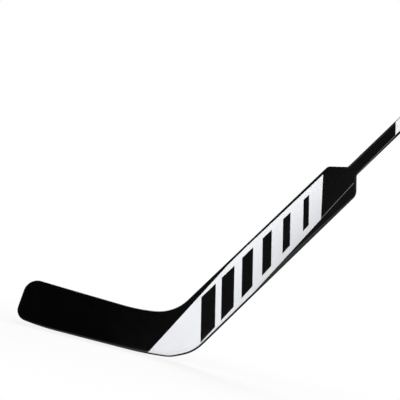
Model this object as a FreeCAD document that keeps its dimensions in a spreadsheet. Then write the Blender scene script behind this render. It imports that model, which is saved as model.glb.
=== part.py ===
"""Foam-core hockey goalie stick, built as an assembly of separate glued pieces.

Frame: the blade's sole lies on z = 0, the middle of its flat length is at x = 0 and the paddle's middle
plane is y = 0. +X runs from the toe towards the shaft, which rises at the lie angle, and the printed face
that is called the front looks towards -Y. Lengths are millimetres and angles are degrees.
"""

import FreeCAD, Part
import os
import Sketcher

Vector = FreeCAD.Vector

# Driving sizes: alias, value, meaning.
SIZES = [
    # Whole stick
    ("lie", 58.2, "angle between the shaft axis and the sole"),
    ("stick_length", 1250.0, "from the heel corner to the butt, along the shaft axis"),
    # Paddle
    ("paddle_length", 510.0, "from the heel corner to the start of the bare shaft"),
    ("paddle_width", 85.0, "paddle width at the heel corner"),
    ("paddle_taper", 0.24, "angle of each paddle edge to the axis"),
    ("paddle_thick", 20.0, "paddle thickness over both skins"),
    ("seam_height", 100.0, "height of the joint between heel and paddle, along the axis"),
    ("shoulder_height", 40.0, "height of a shoulder block along the axis"),
    ("shoulder_angle", 45.0, "slope of the shoulder against the axis"),
    ("shoulder_round", 8.0, "corner radius where the shoulder leaves the edge"),
    ("rail_width", 8.0, "width of the edge rails and strips"),
    ("edge_round", 3.5, "rounding along the outer edges"),
    ("skin_thick", 1.2, "thickness of the face laminates"),
    # Shaft
    ("shaft_width", 24.3, "shaft width across the face"),
    ("shaft_corner", 3.0, "outer corner radius of the shaft tube"),
    ("tube_wall", 2.2, "wall of the shaft tube"),
    ("plug_depth", 35.0, "length of the butt plug inside the tube"),
    ("plug_cap", 4.0, "height of the plug's cap over the tube"),
    ("tenon_length", 40.0, "length of the heel tenon inside the tube"),
    # Blade outline
    ("blade_length", 351.0, "from the heel corner to the toe edge, along the sole"),
    ("blade_height", 79.0, "height of the blade's upper edge over the heel corner"),
    ("blade_flare", 1.8, "angle by which the upper edge rises towards the toe"),
    ("toe_lean", 5.6, "lean of the toe edge from upright"),
    ("toe_rise_length", 87.0, "from the toe edge back to where the sole starts to curve up"),
    ("toe_rise_radius", 528.0, "radius of that curve"),
    ("toe_top_radius", 29.0, "radius of the upper toe corner"),
    ("toe_sole_radius", 24.0, "radius of the lower toe corner"),
    ("throat_radius", 97.0, "radius in the bend between blade and paddle"),
    ("heel_rise", 9.0, "rise of the sole towards the heel"),
    ("heel_rise_start", 70.0, "from the heel corner to where that rise starts"),
    ("heel_rise_radius", 360.0, "radius of that rise"),
    ("heel_radius", 98.0, "radius of the heel"),
    # Blade curve: the blade bends away from the printed face about a slanted line
    ("bend_lean", 43.0, "lean of the bend line from upright, towards the toe"),
    ("bend_start", 85.0, "from the heel corner to the bend line"),
    ("bend_radius", 760.0, "radius of the printed face past the bend line"),
    ("blade_root", 13.0, "blade thickness at the bend line"),
    ("taper_start", -40.0, "where the far face starts to run in, measured as bend_start"),
    ("taper_radius", 600.0, "rounding at that start"),
    ("blade_tip", 8.0, "blade thickness at the lower toe corner, where the far face's hollow ends"),
    ("edge_share", 0.45, "largest share of that thickness which an edge rounding takes"),
    # Blade pieces
    ("blade_joint", 105.0, "from the heel corner to the joint between heel and blade"),
    ("toe_strip_length", 51.0, "from the toe edge back to the joint of the toe strip"),
    ("tongue_length", 60.0, "length of the tongue, half on each side of the joint"),
    ("tongue_height", 40.0, "height of the tongue"),
    ("tongue_thick", 5.0, "thickness of the tongue"),
    ("tongue_bottom", 20.0, "height of the tongue's lower edge over the sole"),
    ("tongue_depth", 5.0, "from the printed face to the tongue"),
    # Printed films
    ("film_thick", 0.15, "thickness of a printed film"),
    ("panel_foot", 72.4, "from the heel corner to the panel's inner edge, along the sole"),
    ("panel_skew", 4.65, "angle of the panel's inner edge to the axis"),
    ("panel_border", 4.4, "dark border between panel and upper edge"),
    ("panel_gap", 48.0, "from the panel's upper corner to the end of the paddle, along the axis"),
    ("panel_end_angle", 45.0, "slope of the panel's end against the axis"),
    ("panel_low_start", 129.0, "height where the panel's lower edge leaves the paddle edge"),
    ("panel_low_skew", 3.3, "angle between the panel's lower edge and the paddle edge"),
    ("bar_first", 110.0, "height of the middle of the first dark bar along the axis"),
    ("bar_gap", 82.0, "from the middle of the last bar to the panel's upper corner, along the axis"),
    ("bar_share", 0.74, "share of its place along the axis that the first bar fills"),
    ("bar_step", 0.09, "how much smaller that share is for each next bar"),
    ("bar_slant", 45.0, "slope of the bars against the axis"),
    ("bar_margin", 10.0, "white left between a bar and the panel's long edges"),
    ("stripe_width", 1.0, "width of the pinstripe"),
    ("stripe_gap", 15.0, "from the pinstripe's upper end to the end of the paddle, along the axis"),
    ("band_gap", 121.0, "from the end of the paddle to the white shaft band, along the axis"),
    ("band_length", 240.0, "length of the white shaft band"),
    ("band_slant", 45.0, "slope of the band's ends against the axis"),
    ("band_half", 8.5, "half width of the white shaft band"),
]

BAR_COUNT = 6

# Helper solids that cut the pieces apart reach past the stick in every direction.
FAR = "(2 * Sizes.stick_length)"
DEEP = "(Sizes.blade_length / 2)"

doc = FreeCAD.newDocument("goalie_stick")
sizes = doc.addObject("Spreadsheet::Sheet", "Sizes")
for row, (alias, value, meaning) in enumerate(SIZES, start=1):
    sizes.set(f"A{row}", meaning)
    sizes.set(f"B{row}", str(value))
    sizes.setAlias(f"B{row}", alias)
doc.recompute()

# Expressions that several pieces share.
HALF_THICK = "(Sizes.paddle_thick / 2)"
HALF_SHAFT = "(Sizes.shaft_width / 2)"
SHAFT_THICK = "(Sizes.paddle_thick - 2 * Sizes.skin_thick)"
BORE_WIDTH = "(Sizes.shaft_width - 2 * Sizes.tube_wall)"
BORE_THICK = f"({SHAFT_THICK} - 2 * Sizes.tube_wall)"
SHOULDER_FOOT = "(Sizes.paddle_length - Sizes.shoulder_height)"
TUBE_TOP = "(Sizes.stick_length - Sizes.plug_cap)"
FLAT_SOLE_START = "(Sizes.heel_rise_start + Sizes.heel_rise_radius * tan(Sizes.heel_rise / 2))"
FLAT_SOLE_END = "(Sizes.blade_length - Sizes.toe_rise_length)"
HEEL_OFFSET = f"(({FLAT_SOLE_START} + {FLAT_SOLE_END}) / 2)"
TOE_JOINT = "(Sizes.blade_length - Sizes.toe_strip_length)"
AXIS_FOOT = ("(-Sizes.paddle_width / 2 * sin(Sizes.lie))", "(Sizes.paddle_width / 2 * cos(Sizes.lie))")

pieces = []


def value_of(expression):
    """The plain number that an expression in the driving sizes gives."""
    result = sizes.evalExpression(expression)
    return float(getattr(result, "Value", result))


def keep(piece, label):
    """Name a finished sub-part and put it on the list of pieces to write."""
    piece.Label = label
    pieces.append(piece)


# Frames: paddle pieces lie along the shaft axis, heel and blade pieces along the sole.

def place_on_paddle(piece):
    """Local x runs up the shaft axis from heel height, local z across towards the upper edge."""
    piece.Placement = FreeCAD.Placement(Vector(), FreeCAD.Rotation(Vector(0, -1, 0), 1))
    piece.setExpression("Placement.Rotation.Angle", "Sizes.lie")
    piece.setExpression("Placement.Base.x", f"{HEEL_OFFSET} + {AXIS_FOOT[0]}")
    piece.setExpression("Placement.Base.z", AXIS_FOOT[1])


def place_at_heel(piece):
    """Local x and z are the stick's own, measured from the heel corner."""
    piece.setExpression("Placement.Base.x", HEEL_OFFSET)


def place_on_bend(piece):
    """Local x runs from the heel corner square to the bend line, towards the toe."""
    piece.Placement = FreeCAD.Placement(Vector(), FreeCAD.Rotation(Vector(0, 1, 0), 1))
    piece.setExpression("Placement.Rotation.Angle", "180 - Sizes.bend_lean")
    piece.setExpression("Placement.Base.x", HEEL_OFFSET)


# Sketches: every corner is held by two expressions.

def new_sketch(body, role, lift=None):
    """A sketch on one of the body's own origin planes, moved along its normal by an expression."""
    sketch = body.newObject("Sketcher::SketchObject", "Sketch")
    plane = next(item for item in body.Origin.OriginFeatures if item.Role == role)
    sketch.AttachmentSupport = [(plane, "")]
    sketch.MapMode = "FlatFace"
    if lift:
        sketch.setExpression("AttachmentOffset.Base.z", lift)
    return sketch


def hold(sketch, kind, item, point, expression):
    """Hold a point's distance from the sketch's origin, kind DistanceX or DistanceY, at an expression."""
    constraint = Sketcher.Constraint(kind, -1, 1, item, point, value_of(expression))
    index = sketch.addConstraint(constraint)
    sketch.setExpression(f"Constraints[{index}]", expression)


def pin(sketch, item, point, x, y):
    """Hold a point at two expressions, measured from the sketch's origin."""
    hold(sketch, "DistanceX", item, point, x)
    hold(sketch, "DistanceY", item, point, y)


def point_of(x, y):
    """A point from two expressions."""
    return Vector(value_of(x), value_of(y), 0)


def line_between(sketch, start, end):
    """Add a line between two points and return its number."""
    return sketch.addGeometry(Part.LineSegment(start, end), False)


def arc_about(sketch, centre, start, end):
    """Add an arc about a centre, anticlockwise between two points, and return its number."""
    circle = Part.Circle(centre, Vector(0, 0, 1), (start - centre).Length)
    arc = Part.ArcOfCircle(circle, circle.parameter(start), circle.parameter(end))
    return sketch.addGeometry(arc, False)


def closed_profile(sketch, items):
    """Close a run of lines and arcs: each item ends, by its named point, where the next one starts."""
    for index, (item, _, end) in enumerate(items):
        following, start, _ = items[(index + 1) % len(items)]
        sketch.addConstraint(Sketcher.Constraint("Coincident", item, end, following, start))


def polygon(sketch, corners, arc_centres=None):
    """A closed outline whose corners are pairs of expressions; named edges are arcs about a centre."""
    centres = arc_centres or {}
    points = [point_of(*corner) for corner in corners]
    items = []
    for index, start in enumerate(points):
        end = points[(index + 1) % len(points)]
        if index in centres:
            items.append(arc_about(sketch, point_of(*centres[index]), start, end))
        else:
            items.append(line_between(sketch, start, end))
    closed_profile(sketch, [(item, 1, 2) for item in items])
    for item, corner in zip(items, corners):
        pin(sketch, item, 1, *corner)
    for index, (centre_x, _) in centres.items():
        hold(sketch, "DistanceX", items[index], 3, centre_x)


def pad(body, sketch, length, symmetric=True):
    """Pad a sketch by an expression, to both sides or along its normal."""
    feature = body.newObject("PartDesign::Pad", "Pad")
    feature.Profile = sketch
    feature.SideType = "Symmetric" if symmetric else "One side"
    feature.setExpression("Length", length)
    return feature


def round_edges(body, base, edges, radius):
    """Round the named edges of a body's feature by an expression."""
    fillet = body.newObject("PartDesign::Fillet", "Fillet")
    fillet.Base = (base, edges)
    fillet.setExpression("Radius", radius)
    return fillet


def edges_where(feature, test):
    """Names of a feature's edges whose middle point and direction there pass a test."""
    names = []
    for number, edge in enumerate(feature.Shape.Edges, start=1):
        middle = (edge.FirstParameter + edge.LastParameter) / 2
        if test(edge.valueAt(middle), edge.tangentAt(middle)):
            names.append(f"Edge{number}")
    return names


def edges_at(feature, corner):
    """Names of the edges that cross the body's depth at a corner, given as two expressions."""
    x, z = (value_of(part) for part in corner)

    def at_corner(middle, way):
        return abs(way.y) > 0.99 and Vector(middle.x - x, 0, middle.z - z).Length < 0.01

    return edges_where(feature, at_corner)


def flat_piece(label, corners, thick, lift=None, place=place_on_paddle, arc_centres=None):
    """A body padded from an outline on the stick's plane: lifted towards -Y, or about the middle plane."""
    body = doc.addObject("PartDesign::Body", label)
    sketch = new_sketch(body, "XZ_Plane", lift)
    polygon(sketch, corners, arc_centres)
    pad(body, sketch, thick, symmetric=lift is None)
    place(body)
    return body


def combine(kind, label, *shapes):
    """A boolean of two or more objects: kind is MultiCommon or MultiFuse."""
    feature = doc.addObject(f"Part::{kind}", label)
    feature.Shapes = list(shapes)
    return feature


def cut(label, base, tool):
    """What is left of one object after another is taken away."""
    feature = doc.addObject("Part::Cut", label)
    feature.Base = base
    feature.Tool = tool
    return feature


# Lines on the stick's plane, as a point and a direction angle in expressions. Inside is to their left.

def meet(first, second):
    """The point where two lines cross, as two expressions."""
    x1, z1, angle1 = first
    x2, z2, angle2 = second
    rise = f"(({x2}) - ({x1})) * sin({angle2}) - (({z2}) - ({z1})) * cos({angle2})"
    along = f"({rise}) / sin({angle2} - ({angle1}))"
    return f"{x1} + {along} * cos({angle1})", f"{z1} + {along} * sin({angle1})"


def inward(line, inset):
    """A line moved to its left by an inset."""
    x, z, angle = line
    return f"({x} - ({inset}) * sin({angle}))", f"({z} + ({inset}) * cos({angle}))", angle


def corners_of(lines):
    """The corners of the closed outline that lines make, each where a line meets the next."""
    return [meet(line, lines[(index + 1) % len(lines)]) for index, line in enumerate(lines)]


def slanted_line(height, slant):
    """A line that crosses the axis at a height, at a slope against it."""
    foot_x, foot_z = AXIS_FOOT
    x = f"({foot_x} + ({height}) * cos(Sizes.lie))"
    z = f"({foot_z} + ({height}) * sin(Sizes.lie))"
    return x, z, f"(Sizes.lie + {slant})"


def square_line(height):
    """A line square to the axis at a height along it."""
    return slanted_line(height, "90")


SOLE = ("0", "0", "0")
HEEL_RISE = ("-Sizes.heel_rise_start", "0", "Sizes.heel_rise")
LOWER_EDGE = ("0", "0", "(Sizes.lie + Sizes.paddle_taper)")
PADDLE_TOP = square_line("Sizes.paddle_length")
UPPER_EDGE = (
    "-Sizes.paddle_width * sin(Sizes.lie)",
    "Sizes.paddle_width * cos(Sizes.lie)",
    "(Sizes.lie - Sizes.paddle_taper + 180)",
)
BLADE_TOP = ("0", "Sizes.blade_height", "(180 - Sizes.blade_flare)")
TOE = ("-Sizes.blade_length", "0", "(270 - Sizes.toe_lean)")
TOE_RISE_CENTRE = (f"-{FLAT_SOLE_END}", "Sizes.toe_rise_radius")

OUTLINE = [SOLE, HEEL_RISE, LOWER_EDGE, PADDLE_TOP, UPPER_EDGE, BLADE_TOP, TOE]
# Corner radius where each outline line meets the next, the last one at the curve that rises to the toe.
# Convex corners shrink with an inset (sign -1).
OUTLINE_ROUNDS = [
    ("Sizes.heel_rise_radius", -1),
    ("Sizes.heel_radius", -1),
    None,
    None,
    ("Sizes.throat_radius", 1),
    ("Sizes.toe_top_radius", -1),
    ("Sizes.toe_sole_radius", -1),
]


def half_width(height):
    """Half the paddle's width at a height along the axis."""
    return f"(Sizes.paddle_width / 2 - ({height}) * tan(Sizes.paddle_taper))"


def across(side, amount):
    """A distance across the paddle, towards the upper edge (side 1) or the lower edge (side -1)."""
    return f"{side} * ({amount})"


# Shaft: tube, foam and plug, drawn across the axis and run along it.

def rectangle(sketch, width, thick):
    """A rectangle about the sketch's origin, thick along its x and wide along its y."""
    x = f"({thick}) / 2"
    y = f"({width}) / 2"
    polygon(sketch, [(f"-{x}", f"-{y}"), (x, f"-{y}"), (x, y), (f"-{x}", y)])


def bar_along_axis(label, width, thick, start, end):
    """A rectangular bar between two heights along the axis."""
    body = doc.addObject("PartDesign::Body", label)
    sketch = new_sketch(body, "YZ_Plane", start)
    rectangle(sketch, width, thick)
    pad(body, sketch, f"{end} - ({start})", symmetric=False)
    place_on_paddle(body)
    return body


def outer_bar(label, start, end):
    """A bar of the shaft's outer section, its long edges rounded."""
    body = bar_along_axis(label, "Sizes.shaft_width", SHAFT_THICK, start, end)
    doc.recompute()
    long_edges = edges_where(body.Tip, lambda middle, way: abs(way.x) > 0.99)
    round_edges(body, body.Tip, long_edges, "Sizes.shaft_corner")
    return body


def shaft_tube():
    """Rectangular tube from the heel joint, up through the paddle, to the butt."""
    body = outer_bar("shaft_tube", "Sizes.seam_height", TUBE_TOP)
    sketch = new_sketch(body, "YZ_Plane", "Sizes.seam_height")
    rectangle(sketch, BORE_WIDTH, BORE_THICK)
    doc.recompute()
    solid_volume = body.Shape.Volume
    pocket = body.newObject("PartDesign::Pocket", "Pocket")
    pocket.Profile = sketch
    pocket.Type = "ThroughAll"
    pocket.Reversed = True
    doc.recompute()
    bore_volume = value_of(f"{BORE_WIDTH} * {BORE_THICK} * ({TUBE_TOP} - Sizes.seam_height)")
    if abs(solid_volume - body.Shape.Volume - bore_volume) > 0.01 * bore_volume:
        raise RuntimeError("the bore doesn't run through the shaft tube")
    keep(body, "shaft_tube")


def shaft_filling():
    """Damping foam between the heel tenon and the butt plug, and the plug with its cap."""
    foam_foot = "(Sizes.seam_height + Sizes.tenon_length)"
    plug_foot = f"({TUBE_TOP} - Sizes.plug_depth)"
    foam = bar_along_axis("shaft_foam_core", BORE_WIDTH, BORE_THICK, foam_foot, plug_foot)
    keep(foam, "shaft_foam_core")
    stem = bar_along_axis("plug_stem", BORE_WIDTH, BORE_THICK, plug_foot, TUBE_TOP)
    cap = outer_bar("plug_cover", TUBE_TOP, "Sizes.stick_length")
    keep(combine("MultiFuse", "plug", stem, cap), "butt_plug")


# Paddle: rails, foam, shoulders and skins, drawn on the face and padded through the thickness.

def paddle_rail(label, side):
    """Hard edge rail between the heel joint and the shoulder, its outer edges rounded."""
    heights = ["Sizes.seam_height", SHOULDER_FOOT]
    outer = [(height, across(side, half_width(height))) for height in heights]
    inner = [(height, across(side, f"{half_width(height)} - Sizes.rail_width")) for height in heights]
    body = flat_piece(label, outer + inner[::-1], "Sizes.paddle_thick")
    doc.recompute()
    limit = value_of(f"{half_width(SHOULDER_FOOT)} - Sizes.rail_width / 2")
    outside = edges_where(body.Tip, lambda middle, way: abs(way.x) > 0.9 and abs(middle.z) > limit)
    round_edges(body, body.Tip, outside, "Sizes.edge_round")
    keep(body, label)


def paddle_core(label, side):
    """Foam between the shaft tube and the rail."""
    heights = ["Sizes.seam_height", SHOULDER_FOOT]
    outer = [(height, across(side, f"{half_width(height)} - Sizes.rail_width")) for height in heights]
    inner = [(height, across(side, HALF_SHAFT)) for height in heights]
    keep(flat_piece(label, outer + inner[::-1], SHAFT_THICK), label)


def shoulder_block(label, side):
    """Hard block with the sloping shoulder, from the rail's end to the bare shaft."""
    slope_run = f"({half_width('Sizes.paddle_length')} - {HALF_SHAFT}) / tan(Sizes.shoulder_angle)"
    slope_foot = f"(Sizes.paddle_length - {slope_run})"
    corner = (slope_foot, across(side, half_width(slope_foot)))
    corners = [
        (SHOULDER_FOOT, across(side, HALF_SHAFT)),
        (SHOULDER_FOOT, across(side, half_width(SHOULDER_FOOT))),
        corner,
        ("Sizes.paddle_length", across(side, HALF_SHAFT)),
    ]
    body = flat_piece(label, corners, "Sizes.paddle_thick")
    doc.recompute()
    round_edges(body, body.Tip, edges_at(body.Tip, corner), "Sizes.shoulder_round")
    doc.recompute()
    foot = value_of(SHOULDER_FOOT)
    inner = value_of(HALF_SHAFT)

    def outside(middle, way):
        return abs(way.y) < 0.5 and middle.x > foot + 0.01 and abs(middle.z) > inner + 0.01

    round_edges(body, body.Tip, edges_where(body.Tip, outside), "Sizes.edge_round")
    keep(body, label)


def paddle_skin(label, lift):
    """Laminate over the foam, with a tongue between the shoulders onto the shaft."""
    seam = "Sizes.seam_height"
    lower_side = [
        (seam, across(-1, f"{half_width(seam)} - Sizes.rail_width")),
        (SHOULDER_FOOT, across(-1, f"{half_width(SHOULDER_FOOT)} - Sizes.rail_width")),
        (SHOULDER_FOOT, across(-1, HALF_SHAFT)),
        ("Sizes.paddle_length", across(-1, HALF_SHAFT)),
    ]
    upper_side = [(height, f"-({reach})") for height, reach in lower_side[::-1]]
    keep(flat_piece(label, lower_side + upper_side, "Sizes.skin_thick", lift), label)


# Heel and blade: one outline and two bent faces give the blank, which is then divided into its pieces.

def toe_corner(toe, radius):
    """Where the toe line meets the curve that rises from the sole, as two expressions."""
    x, z, angle = toe
    centre_x, centre_z = TOE_RISE_CENTRE
    off_x = f"({x} - ({centre_x}))"
    off_z = f"({z} - ({centre_z}))"
    along = f"({off_x} * cos({angle}) + {off_z} * sin({angle}))"
    short = f"({off_x} ^ 2 + {off_z} ^ 2 - ({radius}) ^ 2)"
    step = f"(sqrt({along} ^ 2 - {short}) - {along})"
    return f"{x} + {step} * cos({angle})", f"{z} + {step} * sin({angle})"


def outline_prism(label, inset):
    """Prism on the outline of paddle, heel and blade, every edge moved inwards by an inset."""
    lines = [inward(line, inset) for line in OUTLINE]
    toe_foot = toe_corner(lines[-1], f"Sizes.toe_rise_radius - ({inset})")
    corners = corners_of(lines)[:-1] + [toe_foot, (f"-{FLAT_SOLE_END}", inset)]
    rise = {len(corners) - 2: TOE_RISE_CENTRE}
    body = flat_piece(label, corners, f"2 * {DEEP}", place=place_at_heel, arc_centres=rise)
    for corner, rounding in zip(corners, OUTLINE_ROUNDS):
        if rounding:
            radius, sign = rounding
            doc.recompute()
            round_edges(body, body.Tip, edges_at(body.Tip, corner), f"{radius} + ({sign}) * ({inset})")
    return body


def behind_front(label, inset):
    """Everything behind the printed face, moved inwards: flat up to the bend line, then one wide arc."""
    body = doc.addObject("PartDesign::Body", label)
    sketch = new_sketch(body, "XY_Plane")
    level = f"({inset} - {HALF_THICK})"
    radius = f"(Sizes.bend_radius - ({inset}))"
    start = (f"-{FAR}", level)
    bend = ("Sizes.bend_start", level)
    centre = ("Sizes.bend_start", f"{level} + {radius}")
    run = "(Sizes.blade_length - Sizes.bend_start)"
    end = ("Sizes.blade_length", f"{level} + {radius} - sqrt({radius} ^ 2 - {run} ^ 2)")
    far_end = ("Sizes.blade_length", DEEP)
    far_start = (f"-{FAR}", DEEP)
    flat = line_between(sketch, point_of(*start), point_of(*bend))
    arc = arc_about(sketch, point_of(*centre), point_of(*bend), point_of(*end))
    side = line_between(sketch, point_of(*end), point_of(*far_end))
    far = line_between(sketch, point_of(*far_end), point_of(*far_start))
    back = line_between(sketch, point_of(*far_start), point_of(*start))
    closed_profile(sketch, [(flat, 1, 2), (arc, 1, 2), (side, 1, 2), (far, 1, 2), (back, 1, 2)])
    pin(sketch, flat, 1, *start)
    pin(sketch, flat, 2, *bend)
    pin(sketch, arc, 3, *centre)
    hold(sketch, "DistanceX", arc, 2, "Sizes.blade_length")
    pin(sketch, side, 2, *far_end)
    pin(sketch, far, 2, *far_start)
    pad(body, sketch, f"2 * {FAR}")
    place_on_bend(body)
    return body


# Lower toe corner, square to the bend line from the heel corner, and the printed face's depth there.
TIP_REACH = "(Sizes.blade_length * cos(Sizes.bend_lean))"
TIP_RUN = f"({TIP_REACH} - Sizes.bend_start)"
FRONT_AT_TIP = f"(Sizes.bend_radius - sqrt(Sizes.bend_radius ^ 2 - {TIP_RUN} ^ 2) - {HALF_THICK})"


def before_back(label, inset):
    """Everything before the far face, moved inwards: flat, a soft break, a taper, then the hollow arc."""
    body = doc.addObject("PartDesign::Body", label)
    sketch = new_sketch(body, "XY_Plane")
    level = f"({HALF_THICK} - ({inset}))"
    soft = f"(Sizes.taper_radius - ({inset}))"
    start = (f"-{FAR}", level)
    crest = ("Sizes.taper_start", level)
    soft_centre = ("Sizes.taper_start", f"({level} - {soft})")
    root = ("Sizes.bend_start", f"(Sizes.blade_root - {HALF_THICK} - ({inset}))")
    reach_x = f"({root[0]} - {soft_centre[0]})"
    reach_y = f"({root[1]} - {soft_centre[1]})"
    square = f"(atan2({reach_y}; {reach_x}) + acos({soft} / sqrt({reach_x} ^ 2 + {reach_y} ^ 2)))"
    foot = (f"{soft_centre[0]} + {soft} * cos({square})", f"{soft_centre[1]} + {soft} * sin({square})")
    tip_x = f"({TIP_REACH} - {root[0]})"
    tip_y = f"({FRONT_AT_TIP} + Sizes.blade_tip - ({inset}) - {root[1]})"
    hollow = f"(({tip_x} ^ 2 + {tip_y} ^ 2) / (2 * ({tip_x} * cos({square}) + {tip_y} * sin({square}))))"
    hollow_centre = (f"({root[0]} + {hollow} * cos({square}))", f"({root[1]} + {hollow} * sin({square}))")
    run = f"(Sizes.blade_length - {hollow_centre[0]})"
    end = ("Sizes.blade_length", f"{hollow_centre[1]} - sqrt({hollow} ^ 2 - {run} ^ 2)")
    far_end = ("Sizes.blade_length", f"-{DEEP}")
    far_start = (f"-{FAR}", f"-{DEEP}")
    flat = line_between(sketch, point_of(*start), point_of(*crest))
    break_arc = arc_about(sketch, point_of(*soft_centre), point_of(*foot), point_of(*crest))
    taper = line_between(sketch, point_of(*foot), point_of(*root))
    hollow_arc = arc_about(sketch, point_of(*hollow_centre), point_of(*root), point_of(*end))
    side = line_between(sketch, point_of(*end), point_of(*far_end))
    far = line_between(sketch, point_of(*far_end), point_of(*far_start))
    back = line_between(sketch, point_of(*far_start), point_of(*start))
    straight = [(taper, 1, 2), (hollow_arc, 1, 2), (side, 1, 2), (far, 1, 2), (back, 1, 2)]
    closed_profile(sketch, [(flat, 1, 2), (break_arc, 2, 1)] + straight)
    pin(sketch, flat, 1, *start)
    pin(sketch, flat, 2, *crest)
    pin(sketch, break_arc, 3, *soft_centre)
    hold(sketch, "DistanceX", break_arc, 1, foot[0])
    pin(sketch, taper, 2, *root)
    pin(sketch, hollow_arc, 3, *hollow_centre)
    hold(sketch, "DistanceX", hollow_arc, 2, "Sizes.blade_length")
    pin(sketch, side, 2, *far_end)
    pin(sketch, far, 2, *far_start)
    pad(body, sketch, f"2 * {FAR}")
    place_on_bend(body)
    return body


def region(label, corners, place):
    """A deep prism on a polygon, used to divide the blank."""
    return flat_piece(label, corners, f"2 * {DEEP}", place=place)


def slab(label, left, right, place):
    """A deep prism between two values of the placed x, as high as the stick."""
    return region(label, [(left, f"-{FAR}"), (right, f"-{FAR}"), (right, FAR), (left, FAR)], place)


def dividing_regions():
    """Prisms that divide the blank at the heel joint, the blade joint, the toe joint and mid height."""
    below_seam = slab("below_seam", f"-{FAR}", "Sizes.seam_height", place_on_paddle)
    heel = slab("heel_slab", "-Sizes.blade_joint", FAR, place_at_heel)
    blade = slab("blade_slab", f"-{FAR}", "-Sizes.blade_joint", place_at_heel)
    middle = slab("blade_middle_slab", f"-{TOE_JOINT}", "-Sizes.blade_joint", place_at_heel)
    toe = slab("toe_slab", f"-{FAR}", f"-{TOE_JOINT}", place_at_heel)
    mid_height = "(Sizes.blade_height / 2)"
    axis = (*AXIS_FOOT, "Sizes.lie")
    turn = meet(("0", mid_height, "0"), axis)
    summit = meet(("0", FAR, "0"), axis)
    upper = region("upper_side", [(f"-{FAR}", mid_height), turn, summit, (f"-{FAR}", FAR)], place_at_heel)
    return below_seam, heel, blade, middle, toe, upper


def rounded_blank(outline, front, back, below_seam):
    """The whole heel and blade as one form, with its outer edges rounded."""
    blank = combine("MultiCommon", "blank", outline, front, back, below_seam)
    doc.recompute()
    sides = [face for face in outline.Shape.Faces if abs(face.normalAt(0, 0).y) < 0.5]
    seam = [face for face in below_seam.Shape.Faces if face.distToShape(blank.Shape)[0] < 0.001]

    def on_rim(middle, way):
        point = Part.Vertex(middle)
        near_side = min(face.distToShape(point)[0] for face in sides) < 0.001
        on_seam = min(face.distToShape(point)[0] for face in seam) < 0.001
        return near_side and not on_seam and abs(way.y) < 0.5

    body = doc.addObject("PartDesign::Body", "rounded_blank")
    body.BaseFeature = blank
    doc.recompute()
    radius = "min(Sizes.edge_round; Sizes.edge_share * Sizes.blade_tip)"
    round_edges(body, body.Tip, edges_where(body.Tip, on_rim), radius)
    return body


def heel_and_blade():
    """Divide the rounded blank into edge strips, skins, heel block, tongue and blade core."""
    below_seam, heel, blade, middle, toe, upper = dividing_regions()
    front = behind_front("printed_face", "0")
    back = before_back("far_face", "0")
    front_core = behind_front("printed_face_of_core", "Sizes.skin_thick")
    back_core = before_back("far_face_of_core", "Sizes.skin_thick")
    outline = outline_prism("outline", "0")
    inside = outline_prism("outline_inside_strips", "Sizes.rail_width")
    blank = rounded_blank(outline, front, back, below_seam)

    ring = cut("edge_ring", blank, inside)
    filling = combine("MultiCommon", "filling", blank, inside)

    keep(combine("MultiCommon", "throat", ring, heel, upper), "throat_strip")
    keep(cut("heel_edge", combine("MultiCommon", "heel_ring", ring, heel), upper), "heel_strip")
    keep(combine("MultiCommon", "blade_top", ring, middle, upper), "blade_top_strip")
    keep(cut("blade_sole", combine("MultiCommon", "blade_ring", ring, middle), upper), "blade_sole_strip")
    keep(combine("MultiCommon", "toe", ring, toe), "toe_strip")

    tongue = doc.addObject("Part::Box", "tongue")
    tongue.setExpression("Length", "Sizes.tongue_length")
    tongue.setExpression("Width", "Sizes.tongue_thick")
    tongue.setExpression("Height", "Sizes.tongue_height")
    tongue_start = f"{HEEL_OFFSET} - Sizes.blade_joint - Sizes.tongue_length / 2"
    tongue.setExpression("Placement.Base.x", tongue_start)
    tongue.setExpression("Placement.Base.y", f"Sizes.tongue_depth - {HALF_THICK}")
    tongue.setExpression("Placement.Base.z", "Sizes.tongue_bottom")
    keep(tongue, "blade_tongue")

    for name, side in (("heel", heel), ("blade", blade)):
        part = combine("MultiCommon", f"{name}_filling", filling, side)
        keep(cut(f"{name}_front", part, front_core), f"{name}_front_skin")
        keep(cut(f"{name}_back", part, back_core), f"{name}_back_skin")
        core = combine("MultiCommon", f"{name}_inner", part, front_core, back_core)
        if name == "blade":
            keep(cut("blade_core_mortised", core, tongue), "blade_core")
        else:
            top = "(Sizes.seam_height + Sizes.tenon_length)"
            tenon = bar_along_axis("heel_tenon", BORE_WIDTH, BORE_THICK, "Sizes.seam_height", top)
            block = combine("MultiFuse", "heel_with_tenon", core, tenon)
            keep(cut("heel_block_mortised", block, tongue), "heel_block")
    return front, back


# Printed films: thin layers on the two faces.

PANEL_INNER = ("-Sizes.panel_foot", "0", "(Sizes.lie + 180 + Sizes.panel_skew)")
PANEL_LOW = (
    f"Sizes.panel_low_start * cos{LOWER_EDGE[2]}",
    f"Sizes.panel_low_start * sin{LOWER_EDGE[2]}",
    "(Sizes.lie + Sizes.paddle_taper + Sizes.panel_low_skew)",
)
PANEL_TOP = inward(UPPER_EDGE, "Sizes.panel_border")
PANEL_HEIGHT = "(Sizes.paddle_length - Sizes.panel_gap)"
PANEL_CORNER = meet(square_line(PANEL_HEIGHT), PANEL_TOP)
PANEL_END = (*PANEL_CORNER, "(Sizes.lie + Sizes.panel_end_angle)")
PANEL_LOW_CORNER = meet(PANEL_LOW, PANEL_END)


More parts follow.
